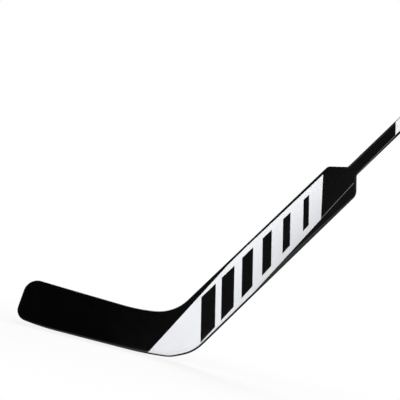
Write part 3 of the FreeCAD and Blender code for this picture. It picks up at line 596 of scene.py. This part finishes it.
def skin_rings(lower_t, upper_t, face, side):
    """Sections of a skin between the strips: its outer side on a face, its inner side one thickness inside."""
    low_x, low_z = (part[:, None] for part in from_rim(lower_t, EDGE_WIDTH))
    top_x, top_z = (part[:, None] for part in from_rim(upper_t, EDGE_WIDTH))
    x = low_x + (top_x - low_x) * ACROSS
    z = low_z + (top_z - low_z) * ACROSS
    rim_distance = EDGE_WIDTH + np.hypot(x - low_x, z - low_z)
    y = face(x, z) - side * edge_fall(rim_distance, bevel_on_rim(lower_t)[:, None], EDGE_ROUND)
    return sheet_rings(points(x, y, z), points(x, y - side * SKIN, z))


heel_run = np.linspace(0, 1, 60)
heel_stations = (
    LOWER_SEAM + (LOWER_JOINT - LOWER_SEAM) * heel_run,
    UPPER_SEAM + (UPPER_JOINT - UPPER_SEAM) * heel_run,
)
blade_x = np.linspace(-BLADE_JOINT, -TOE_JOINT, 70)
toe_run = np.linspace(0, 1, 40)[1:]
blade_stations = (
    np.concatenate([rim_station(blade_x, False), LOWER_TOE + (TOE_MIDDLE - LOWER_TOE) * toe_run]),
    np.concatenate([rim_station(blade_x, True), UPPER_TOE + (TOE_MIDDLE - UPPER_TOE) * toe_run]),
)
for place, face, side in FACES:
    for part, stations in (("heel", heel_stations), ("blade", blade_stations)):
        node = f"{part}_{place}_skin"
        rings = skin_rings(*stations, face, side)
        add_piece(node + "_lacquered", [rings], BLADE_LACQUER, [node])

# %% [markdown]
# ## Paddle, shoulders and shaft
# Above the seam everything is straight, so one rule gives the half thickness at any height s and distance q: the
# thickness of the section there, less the fall of its edge. The shoulders narrow it at 45 degrees, and the faces
# come down to the shaft's thickness over the same stretch, which is what catches the soft lights there.

# %% Half thickness of the paddle and shaft
SHOULDER_SLOPE = math.radians(45)
UPPER_SHOULDER_ROUND = 13.0
LOWER_SHOULDER_ROUND = 22.0
SHAFT_FILLET = 5.0
SHAFT_CORNER = 4.5
SHAFT_START = PADDLE_LENGTH + SHAFT_FILLET * math.tan(SHOULDER_SLOPE / 2)


def shoulder_edge(corner):
    """Height, half width and slope along an edge: paddle, 45 degree shoulder and shaft, with rounded corners."""
    lines = [(0.0, half_width(0), -TAPER)]
    lines += [(PADDLE_LENGTH, HALF_SHAFT, -SHOULDER_SLOPE), (PADDLE_LENGTH, HALF_SHAFT, 0.0)]
    return rounded_path((0.0, half_width(0)), lines, [corner, SHAFT_FILLET], (STICK_LENGTH, HALF_SHAFT))[:3]


UPPER_EDGE, LOWER_EDGE = shoulder_edge(UPPER_SHOULDER_ROUND), shoulder_edge(LOWER_SHOULDER_ROUND)


def edge_at(s, lower):
    """Half width at a height and the cosine of the edge's slope there, on the upper or the lower side."""
    upper_q, lower_q = (np.interp(s, edge[0], edge[1]) for edge in (UPPER_EDGE, LOWER_EDGE))
    upper_lean, lower_lean = (np.cos(np.interp(s, edge[0], edge[2])) for edge in (UPPER_EDGE, LOWER_EDGE))
    return np.where(lower, lower_q, upper_q), np.where(lower, lower_lean, upper_lean)


def shoulder_share(s):
    """0 on the paddle and 1 on the shaft, with an even start and finish: 3 f^2 - 2 f^3."""
    f = np.clip((s - SHOULDER_FOOT) / (SHAFT_START - SHOULDER_FOOT), 0, 1)
    return f * f * (3 - 2 * f)


def half_depth(s, q):
    """Half thickness at a height and distance across: the section's own, less the fall of its edge."""
    edge, lean = edge_at(s, q < 0)
    share = shoulder_share(s)
    corner = EDGE_ROUND + (SHAFT_CORNER - EDGE_ROUND) * share
    bevel = np.where(q < 0, bevel_width(on_paddle(s, -edge)[0]) * (s < SHAFT_START), 0.0)
    return HALF_THICK - SKIN * share - edge_fall(np.maximum(edge - np.abs(q), 0) * lean, bevel, corner)


print("shaft starts at", round(SHAFT_START, 1), "mm")

# %% [markdown]
# Hard rails close the paddle's two edges, and a block at each side of the shaft makes the shoulder. They could be
# cut from a box, but each wraps its edge from face to face, so each is one section carried up the paddle: along
# the printed face to the edge, round it, and back along the far face.

# %% Rails and shoulders
def paddle_points(s, q, y):
    """Points at height s, distance q across and depth y."""
    x, z = on_paddle(s, q)
    return points(x, y, z)


def wrapped_rings(s, insets, side):
    """Sections of an edge piece: along the printed face to the edge, then along the far face back."""
    edge, lean = edge_at(s, side < 0)
    q = side * (edge - insets / lean)
    depth = half_depth(s, q)
    return sheet_rings(paddle_points(s, q, -depth), paddle_points(s, q, depth))


def block_insets(s, side):
    """Distances from a shoulder's edge: the round as on the rail, then even steps to the side of the shaft."""
    edge, lean = edge_at(s, side < 0)
    reach = (edge - HALF_SHAFT) * lean
    corner = np.full_like(s, SHAFT_CORNER)
    flats = corner + np.maximum(reach - corner, 0) * FLAT_STEPS
    return np.minimum(np.concatenate([flats, corner * (1 - np.sin(ROUND_STEPS))], axis=1), reach)


rail_s = np.linspace(SEAM, SHOULDER_FOOT, 90)[:, None]
shoulder_s = np.linspace(SHOULDER_FOOT, SHAFT_START, 60)[:, None]
for name, side in (("upper", 1), ("lower", -1)):
    rail = wrapped_rings(rail_s, STRIP_INSETS, side)
    block = wrapped_rings(shoulder_s, block_insets(shoulder_s, side), side)
    for node, rings in ((f"paddle_{name}_rail", rail), (f"shoulder_{name}_block", block)):
        add_piece(node + "_lacquered", [rings], EDGE_LACQUER, [node])

# %% [markdown]
# The paddle's laminate lies between the rails and runs on as a tongue over the tube, between the shoulder blocks.
# It is one sheet on the real stick. Here it is two lofts in one piece, because their insides differ: the wide one
# is flat inside, and the tongue follows the rounded corners of the tube.

# %% Paddle skins
SIDES = (("front", -1), ("back", 1))
# Layers reach this far into what they lie on, so that no two surfaces fall together.
SKIN_LAP, TONGUE_LAP = 0.01, 0.05


def layer_rings(s, q, side, inner):
    """Sections of a layer on a face, from the surface in to a given depth; side is -1 on the printed face."""
    return sheet_rings(paddle_points(s, q, side * half_depth(s, q)), paddle_points(s, q, side * inner))


def tube_depth(q):
    """Half thickness of the shaft's tube at a distance across: its flat, then a quarter round."""
    past = np.maximum(np.abs(q) - (HALF_SHAFT - SHAFT_CORNER), 0)
    return SHAFT_HALF_THICK - SHAFT_CORNER + np.sqrt(SHAFT_CORNER**2 - past**2)


skin_q = (half_width(rail_s) - EDGE_WIDTH) * np.linspace(-1, 1, 61)
tongue_q = HALF_SHAFT * np.sin(np.linspace(-math.pi / 2, math.pi / 2, 61))
for place, side in SIDES:
    node = f"paddle_{place}_skin"
    lofts = [layer_rings(rail_s, skin_q, side, SHAFT_HALF_THICK - SKIN_LAP)]
    lofts.append(layer_rings(shoulder_s, tongue_q, side, tube_depth(tongue_q) - TONGUE_LAP))
    add_piece(node + "_lacquered", lofts, BODY_LACQUER, [node])

# %% [markdown]
# The shaft is a pultruded rectangular tube, closed at the butt by a moulded plug. A cube with a bevel modifier
# would do, but as a rounded rectangle carried along the axis it shares its corner radius with the shoulders.

# %% Shaft tube
PLUG_CAP = 4.0
TUBE_WALL = 2.2
BORE_CORNER = 0.5
FLAT_MARGIN = 0.1


def rounded_rectangle(half_q, half_y, corner, steps=7):
    """A closed section: four quarter circles about the corner centres, and a point on the flat beside each end.

    A point on a circle is its centre plus the radius times cosine and sine. The points on the flats lie a
    tenth of a millimetre past the arcs, so that the flats between them are shaded flat.
    """
    quarter = np.arange(4)[:, None]
    angle = np.linspace(0, math.pi / 2, steps)
    angle = np.concatenate([[0.0], angle, [math.pi / 2]]) + quarter * math.pi / 2
    past = np.zeros(steps + 2)
    past[[0, -1]] = -FLAT_MARGIN, FLAT_MARGIN
    sign_q = np.where((quarter == 0) | (quarter == 3), 1, -1)
    sign_y = np.where(quarter < 2, 1, -1)
    half_q, half_y, corner = (value[..., None, None] for value in (half_q, half_y, corner))
    q = sign_q * (half_q - corner) + corner * np.cos(angle) - past * np.sin(angle)
    y = sign_y * (half_y - corner) + corner * np.sin(angle) + past * np.cos(angle)
    return q.reshape(*q.shape[:-2], -1), y.reshape(*y.shape[:-2], -1)


def bar_rings(s, inset, corner):
    """Rounded rectangles along the axis, one for each height, an inset smaller than the shaft all round."""
    s, inset, corner = np.broadcast_arrays(s, inset, corner)
    q, y = rounded_rectangle(HALF_SHAFT - inset, SHAFT_HALF_THICK - inset, corner)
    return paddle_points(s[:, None], q, y)


tube_s = np.linspace(SEAM, STICK_LENGTH - PLUG_CAP, 120)
outside = bar_rings(tube_s, 0.0, SHAFT_CORNER)
bore = bar_rings(tube_s, TUBE_WALL, BORE_CORNER)
# The wall is carried round the tube, not along it: each of its sections goes up the outside and down the bore.
wall = sheet_rings(outside.swapaxes(0, 1), bore.swapaxes(0, 1))
add_piece("shaft_tube_lacquered", [wall], BODY_LACQUER, ["shaft_tube"], endless=True)

# %% [markdown]
# The plug is pushed into the tube until its cap sits on the end. On a lathe it would be one turned profile. It is
# rectangular, so the profile is a list of heights with an inset and a corner radius at each.

# %% Butt plug
PLUG_DEPTH = 35.0
CAP_ROUND = 1.5
CAP_CHAMFER = 0.5
LEAST_CORNER = 0.3
STEM_RINGS = 2  # the first rings, inside the tube, have the corners of its bore

cap_turn = np.linspace(0, math.pi / 2, 7)
cap_foot = STICK_LENGTH - PLUG_CAP
rim_s = STICK_LENGTH - CAP_ROUND * (1 - np.sin(cap_turn))
plug_s = np.concatenate([[cap_foot - PLUG_DEPTH, cap_foot, cap_foot, cap_foot + CAP_CHAMFER], rim_s])
plug_in = np.concatenate([[TUBE_WALL, TUBE_WALL, CAP_CHAMFER, 0.0], CAP_ROUND * (1 - np.cos(cap_turn))])
cap_corner = np.maximum(SHAFT_CORNER - plug_in, LEAST_CORNER)
plug_corner = np.where(np.arange(len(plug_s)) < STEM_RINGS, BORE_CORNER, cap_corner)
plug = bar_rings(plug_s, plug_in, plug_corner)
add_piece("butt_plug_moulded", [plug], PLUG_PLASTIC, ["butt_plug"])

# %% [markdown]
# ## Print
# The white panel wraps the heel and runs up the paddle. It follows the bevel almost to the rim and leaves only a
# thin dark line. Paint in a material could draw it, but as a film with its own thin edge it stays a piece that
# can be recoloured or taken off. The grid runs along the lower rim one way and across the panel the other.

# %% Outline of the white panel
PANEL_FOOT = 75.8  # distance from the heel at which the inner edge would reach the sole
PANEL_CORNER = PADDLE_LENGTH - 47.2
PANEL_LOW_START = 129.0  # height at which the lower edge leaves the rim
INNER_EDGE = (-PANEL_FOOT, 0.0, LIE + math.radians(3.7))
END_SLOPE = 1.06
END_BORDER = 4.4
LOW_SKEW = math.tan(TAPER + math.radians(3.3))
BORDER_PLACES, BORDER_WIDTHS = (205, 250, 350, 440), (4.2, 3.4, 4.2, 4.7)
RIM_PLACES, RIM_WIDTHS = (-29, 5), (3.2, 4.1)


def panel_border(s):
    """Width of the dark line between the panel and the paddle's upper edge: it grows a little up the paddle."""
    return np.interp(s, BORDER_PLACES, BORDER_WIDTHS)


def rim_border(x):
    """Width of the dark line between the panel and the lower rim: narrow under the heel, wider up the paddle."""
    return np.interp(x, RIM_PLACES, RIM_WIDTHS)


def low_edge(s):
    """q of the panel's lower edge: a straight line that leaves the paddle's edge and crosses towards the axis."""
    return (s - PANEL_LOW_START) * LOW_SKEW - half_width(PANEL_LOW_START)


def panel_end(q):
    """Height of the panel's slanted end at a distance across: a line through its upper corner, near 45 degrees."""
    return PANEL_CORNER + END_SLOPE * (q - (half_width(PANEL_CORNER) - END_BORDER))


def panel_insets(t):
    """Distances from the lower rim to the panel's two long sides, along the way inwards."""
    x, z = from_rim(t, 0.0)
    along = (x - AXIS_FOOT[0]) * math.cos(LIE) + (z - AXIS_FOOT[1]) * math.sin(LIE)
    low = np.maximum(low_edge(along) + half_width(along), 0) * (along > PANEL_LOW_START)
    angle = np.interp(t, rim_length, rim_inward)
    foot_x, foot_z, heading = INNER_EDGE
    inner = ((foot_x - x) * math.sin(heading) - (foot_z - z) * math.cos(heading)) / np.sin(heading - angle)
    top = 2 * half_width(along) - panel_border(along)
    return np.maximum(rim_border(x), low), np.where(along > 0, np.minimum(inner, top), inner)


print("panel ends at", round(panel_end(0.0)), "mm on the axis")

# %% White panels
FILM = 0.15
FOOT_MARGIN = 1.0
SETTLE_ROUNDS = 12  # rounds of putting an end back into its own formula, until it moves no more


def panel_grid(columns=61, rows=170):
    """Rim lengths and insets of the panel's points; each line along the panel ends on its slanted end."""
    v = np.linspace(0, 1, columns)
    s_end = np.full(columns, PANEL_CORNER)
    for _ in range(SETTLE_ROUNDS):
        low = low_edge(s_end) + half_width(s_end)
        s_end = panel_end(low + v * (2 * half_width(s_end) - panel_border(s_end) - low) - half_width(s_end))
    end = rim_station(on_paddle(s_end, -half_width(s_end))[0], False)
    start = rim_station(-PANEL_FOOT + FOOT_MARGIN, False)
    t = start + np.linspace(0, 1, rows)[:, None] * (end - start)
    low, high = panel_insets(t)
    return t, low + v * np.maximum(high - low, 0)


panel_t, panel_d = panel_grid()
panel_x, panel_z = from_rim(panel_t, panel_d)
panel_fall = edge_fall(panel_d, bevel_on_rim(panel_t), EDGE_ROUND)
for place, face, side in FACES:
    panel_y = face(panel_x, panel_z) - side * panel_fall
    rings = sheet_rings(points(panel_x, panel_y + side * FILM, panel_z), points(panel_x, panel_y, panel_z))
    add_piece(f"{place}_white_panel_film", [rings], PANEL_FILM, [f"{place}_white_panel"])

# %% [markdown]
# On the panel lie plain slanted bars of black ink, each narrower than the one below it. They could be one texture,
# but as thin layers they have crisp edges at any distance. A bar is a patch with two ends that lean 45 degrees.

# %% Slanted bars
BAR_COUNT = 6
BAR_FIRST = 110.0
BAR_LAST = PANEL_CORNER - 82.0
BAR_MARGIN = 10.0
BAR_SHARE, BAR_STEP = 0.74, 0.09  # share of the pitch that the first bar fills, and how much less each next one


def slanted_patch(start, end, low, high, rows, v):
    """Heights and distances of a patch whose two ends cross the axis at start and end, leaning 45 degrees."""
    along = np.linspace(0, 1, rows)[:, None]
    s = start + (end - start) * along + np.zeros_like(v)
    for _ in range(SETTLE_ROUNDS):
        q = low(s) + (high(s) - low(s)) * v
        s = start + (end - start) * along + q
    return s, q


def film_rings(s, q, side, base):
    """Sections of a printed layer that lies a base thickness above the surface."""
    depth = half_depth(s, q) + base
    return sheet_rings(paddle_points(s, q, side * (depth + FILM)), paddle_points(s, q, side * depth))


def bar_low(s):
    """q of the bars' lower ends: a margin above the panel's lower edge."""
    return low_edge(s) + BAR_MARGIN


def bar_high(s):
    """q of the bars' upper ends: a margin below the panel's upper edge."""
    return half_width(s) - panel_border(s) - BAR_MARGIN


bar_pitch = (BAR_LAST - BAR_FIRST) / (BAR_COUNT - 1)
bars = []
for index in range(BAR_COUNT):
    middle, half = BAR_FIRST + index * bar_pitch, bar_pitch * (BAR_SHARE - BAR_STEP * index) / 2
    bars.append(slanted_patch(middle - half, middle + half, bar_low, bar_high, 9, np.linspace(0, 1, 31)))
for place, side in SIDES:
    rings = [film_rings(*bar, side, FILM) for bar in bars]
    add_piece(f"{place}_panel_bars_ink", rings, BLACK_INK, [f"{place}_panel_bars"])

# %% [markdown]
# A fine silver line carries the panel's lower edge on to the shoulder, and another goes on along the shaft to its
# white band, which has the same slanted ends as the bars. The band is wrapped over the tube's upper corner. A
# flat strip would cut that corner, so its depth is read from the surface, as it is for every print here.

# %% Silver lines and shaft bands
STRIPE_WIDTH = 1.0
STRIPE_GUESS = 400.0  # height near which the panel's lower edge meets its slanted end
STRIPE_END = PADDLE_LENGTH - 15.0
BAND = (628.9, 868.9)
BAND_LOW, BAND_HIGH = -7.5, HALF_SHAFT - 0.8
LINE_FOOT = -HALF_SHAFT + 1.1  # where the shaft's line leaves the lower corner
LINE_HEAD = BAND_LOW - 1.2  # and where it ends, just below the band


def line_rings(start, end, low, side):
    """Sections of a thin printed line between two heights, one stripe width above its lower side."""
    s = np.linspace(start, end, 60)[:, None]
    return film_rings(s, low(s) + STRIPE_WIDTH * np.linspace(0, 1, 4), side, 0.0)


def shaft_line(s):
    """q of the silver line on the shaft: it runs from the corner in towards the lower side of the white band."""
    return np.interp(s, [SHAFT_START, BAND[0] + BAND_LOW], [LINE_FOOT, LINE_HEAD])


# The band reaches round the upper corner, so its columns crowd together there: 1 - (1 - v)^2.
band_v = 1 - (1 - np.linspace(0, 1, 25)) ** 2
band = slanted_patch(
    *BAND, lambda s: np.full_like(s, BAND_LOW), lambda s: np.full_like(s, BAND_HIGH), 40, band_v
)
stripe_start = panel_end(low_edge(STRIPE_GUESS))
for place, side in SIDES:
    rings = line_rings(stripe_start, STRIPE_END, low_edge, side)
    add_piece(f"{place}_pinstripe_ink", [rings], SILVER_INK, [f"{place}_pinstripe"])
    rings = line_rings(SHAFT_START, BAND[0] + BAND_LOW, shaft_line, side)
    add_piece(f"shaft_{place}_pinstripe_ink", [rings], SILVER_INK)
    node = f"shaft_{place}_band"
    add_piece(node + "_film", [film_rings(*band, side, 0.0)], BAND_FILM, [node])

# %% [markdown]
# ## Inside
# Foam fills the paddle, blade and shaft, and a block of aspen ties them at the heel. None of it shows, but the
# pieces are part of the stick and are seen when it is taken apart, so they get their own finishes. Foam shows
# its cut cells, and wood its long grain along the piece. Their shapes are plain, so the CAD meshes stay.

# %% Foam
# Cells are under half a millimetre; drawn at 1.5 mm so that they show at all in a close view.
CELL_SIZE, CELL_DEPTH = 1.5, 0.4
# Polyurethane foam, cut from a block: pale straw, dull, and pitted by the open cells of the cut.
FOAM, tree, shader, place = new_material("closed_cell_polyurethane_foam")
cells = add_node(tree, "ShaderNodeTexVoronoi", {"Vector": place, "Scale": per_metre(CELL_SIZE)})
shades = {0: cells.outputs[0], 6: linear("#d9cfae"), 7: linear("#efe8d0")}
tint = add_node(tree, "ShaderNodeMix", shades, data_type="RGBA")
relief = {"Height": cells.outputs[0], "Strength": 0.6, "Distance": CELL_DEPTH / 1000}
pits = add_node(tree, "ShaderNodeBump", relief)
tree.links.new(tint.outputs[2], shader.inputs["Base Color"])
tree.links.new(pits.outputs[0], shader.inputs["Normal"])
shader.inputs["Roughness"].default_value = 0.9
print("foam cells", CELL_SIZE, "mm across")

# %% Wood
# Year rings stand about 3 mm apart and run some thirty times as far along the grain.
RING_SPACING, PORE_DEPTH = 3.0, 0.2
ALONG_GRAIN = 0.03
# Aspen, planed: light brown streaks that follow the grain, a dull sheen and shallow pores.
ASPEN, tree, shader, place = new_material("planed_aspen")
stretch = {"Vector": place, "Rotation": (0.0, LIE, 0.0), "Scale": (ALONG_GRAIN, 1.0, 1.0)}
grain = add_node(tree, "ShaderNodeMapping", stretch)
streaks = {"Vector": grain.outputs[0], "Scale": per_metre(RING_SPACING), "Detail": 6.0, "Roughness": 0.65}
year_rings = add_node(tree, "ShaderNodeTexNoise", streaks)
shades = {0: year_rings.outputs[0], 6: linear("#b98f5f"), 7: linear("#e2c79a")}
tint = add_node(tree, "ShaderNodeMix", shades, data_type="RGBA")
relief = {"Height": year_rings.outputs[0], "Strength": 0.3, "Distance": PORE_DEPTH / 1000}
pores = add_node(tree, "ShaderNodeBump", relief)
tree.links.new(tint.outputs[2], shader.inputs["Base Color"])
tree.links.new(pores.outputs[0], shader.inputs["Normal"])
shader.inputs["Roughness"].default_value = 0.6

INSIDE = {
    FOAM: ("shaft_foam_core", "paddle_upper_core", "paddle_lower_core", "blade_core"),
    ASPEN: ("heel_block", "blade_tongue"),
}
for material, nodes in INSIDE.items():
    for node in nodes:
        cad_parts[node].data.materials.clear()
        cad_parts[node].data.materials.append(material)
    print(material.name, "on", ", ".join(nodes))

# %% [markdown]
# ## Floor, light and camera
# Black gloss shows the room more than itself. In the photograph the broad faces are almost black, and only the
# bevels and rounds are grey. A plain white room would turn the faces grey too. A studio hangs black cloth, called
# flags, where a flat face mirrors it, and leaves white where only the edges do. The world does the same: it is a
# white ring about the line of sight, dark straight ahead and at the sides, with a dim card on the right and a
# flag low on that side, for the shaft's lower corner. Only the lens sees plain white: nothing here is metal or
# glass, and a white seen by gloss would undo the flags.

# %% World
# Levels by the angle from the line of sight, in degrees: the sides, the ring's two rims, and straight ahead.
SIDE_LEVEL, RING_LEVEL, AHEAD_LEVEL = 0.05, 0.9, 0.01
RING_STOPS = ((68, SIDE_LEVEL), (60, RING_LEVEL), (37, RING_LEVEL), (31, AHEAD_LEVEL))
CARD_WAY = (0.86, 0.0, -0.51)  # direction of the card and the flag: right and down
CARD_RIM, CARD_LEVEL = (0.02, 0.025), 0.13
FLAG_RIM, FLAG_LEVEL = (0.66, 0.72), 0.03
WHITE = (1.0, 1.0, 1.0, 1.0)

world = bpy.data.worlds.new("studio_with_white_ring_and_flags")
bpy.context.scene.world = world
world.use_nodes = True
tree = world.node_tree
way = add_node(tree, "ShaderNodeTexCoord").outputs["Generated"]
split = add_node(tree, "ShaderNodeSeparateXYZ", {0: way})
ahead = add_node(tree, "ShaderNodeMath", {0: split.outputs["Y"]}, operation="ABSOLUTE")
room = add_node(tree, "ShaderNodeValToRGB", {0: ahead.outputs[0]})
stops = room.color_ramp.elements
stops[0].color, stops[1].color = (SIDE_LEVEL,) * 3 + (1.0,), (AHEAD_LEVEL,) * 3 + (1.0,)
for degrees, grey in RING_STOPS:
    stops.new(math.cos(math.radians(degrees))).color = (grey, grey, grey, 1.0)
beside = add_node(tree, "ShaderNodeVectorMath", {0: way, 1: CARD_WAY}, operation="DOT_PRODUCT").outputs["Value"]
rim = {"Value": beside, "From Min": CARD_RIM[0], "From Max": CARD_RIM[1], "To Max": CARD_LEVEL}
card = add_node(tree, "ShaderNodeMapRange", rim)
rim = {"Value": beside, "From Min": FLAG_RIM[0], "From Max": FLAG_RIM[1], "To Min": 1.0, "To Max": FLAG_LEVEL}
flag = add_node(tree, "ShaderNodeMapRange", rim)
lit = add_node(tree, "ShaderNodeMath", {0: room.outputs[0], 1: card.outputs[0]}, operation="MAXIMUM")
flagged = add_node(tree, "ShaderNodeMath", {0: lit.outputs[0], 1: flag.outputs[0]}, operation="MULTIPLY")
seen = add_node(tree, "ShaderNodeLightPath").outputs["Is Camera Ray"]
level = add_node(tree, "ShaderNodeMix", {0: seen, 2: flagged.outputs[0], 3: 1.0})
tree.links.new(level.outputs[0], tree.nodes["Background"].inputs["Strength"])
tree.nodes["Background"].inputs["Color"].default_value = WHITE
print("ring", [degrees for degrees, _ in RING_STOPS], "degrees from the line of sight")

# %% [markdown]
# The floor is a sweep of white paper. It could be one bright plane, but then it would light the stick from below.
# It is plain pale paper to every ray but the lens', which sees it glow towards white with the distance. Near the
# stick a fifth of the paper still shows, and with it the stick's shadow. Gloss doesn't see the floor.

# %% Floor
FLOOR_REACH = 12.0
FLOOR_DROP = 0.0005  # the floor lies this far under the stick, so that they don't share a plane
GLOW_NEAR, GLOW_FAR = 0.4, 1.6
GLOW_SHARE = 0.8

corner_signs = np.array([[-1, -1, 0], [1, -1, 0], [1, 1, 0], [-1, 1, 0]])
floor_mesh = bpy.data.meshes.new("floor")
floor_mesh.from_pydata((corner_signs * FLOOR_REACH - [0, 0, FLOOR_DROP]).tolist(), [], [(0, 1, 2, 3)])
floor = bpy.data.objects.new("floor", floor_mesh)
bpy.context.collection.objects.link(floor)
floor.visible_glossy = False
FLOOR_PAPER, tree, shader, place = new_material("white_studio_floor")
shader.inputs["Base Color"].default_value = linear("#f2f2f2")
shader.inputs["Roughness"].default_value = 0.9
glow = add_node(tree, "ShaderNodeEmission", {"Color": WHITE, "Strength": 1.0})
seen = add_node(tree, "ShaderNodeLightPath").outputs["Is Camera Ray"]
away = add_node(tree, "ShaderNodeVectorMath", {0: place}, operation="LENGTH").outputs["Value"]
growth = {"Value": away, "From Min": GLOW_NEAR, "From Max": GLOW_FAR, "To Min": GLOW_SHARE}
white = add_node(tree, "ShaderNodeMapRange", growth)
share = add_node(tree, "ShaderNodeMath", {0: seen, 1: white.outputs[0]}, operation="MULTIPLY")
mixed = add_node(tree, "ShaderNodeMixShader", {0: share.outputs[0], 1: shader.outputs[0], 2: glow.outputs[0]})
tree.links.new(mixed.outputs[0], tree.nodes["Material Output"].inputs["Surface"])
floor_mesh.materials.append(FLOOR_PAPER)
print("floor", 2 * FLOOR_REACH, "m wide")

# %% [markdown]
# Three soft boxes light the stick: one from the upper right, a weaker one from the left, and one from behind for
# the far side. A sun would give hard shadows. Area lamps more than a metre wide leave soft ones.

# %% Lamps
AIM = Vector(((HEEL_X - 48.25) / 1000, -HALF_THICK / 1000, 0.3244))  # the middle of the picture, on the stick
# Place in metres, width in metres and power in watts.
LAMPS = {
    "key_lamp": ((1.3, -2.5, 2.1), 1.6, 46),
    "fill_lamp": ((-2.4, -1.9, 0.4), 1.2, 33),
    "back_lamp": ((0.4, 2.6, 2.2), 1.6, 66),
}
for name, (place, width, power) in LAMPS.items():
    light = bpy.data.lights.new(name, "AREA")
    light.size, light.energy = width, power
    lamp = bpy.data.objects.new(name, light)
    lamp.location = place
    lamp.rotation_euler = (AIM - Vector(place)).to_track_quat("-Z", "Y").to_euler()
    bpy.context.collection.objects.link(lamp)
    print(name, power, "W at", round((AIM - Vector(place)).length, 2), "m")

# %% [markdown]
# The photograph is taken square to the printed face from far off, with the stick turned 14.3 degrees in the
# picture: the lens is long and the camera is rolled. The frame is 800 mm wide at the stick.

# %% Camera
FRAME_WIDTH = 0.798
CAMERA_DISTANCE = 6.0
ROLL = math.radians(14.31)
SENSOR_WIDTH = 36.0
lens = bpy.data.cameras.new("camera")
lens.sensor_width = SENSOR_WIDTH
lens.lens = SENSOR_WIDTH * CAMERA_DISTANCE / FRAME_WIDTH
lens.clip_end = 100.0
camera = bpy.data.objects.new("camera", lens)
right = Vector((math.cos(ROLL), 0, math.sin(ROLL)))
up = Vector((-math.sin(ROLL), 0, math.cos(ROLL)))
back = right.cross(up)
camera.rotation_euler = Matrix((right, up, back)).transposed().to_euler()
camera.location = AIM + back * CAMERA_DISTANCE
bpy.context.collection.objects.link(camera)
bpy.context.scene.camera = camera
bpy.context.scene.view_settings.view_transform = "Standard"
print("lens", round(lens.lens), "mm")
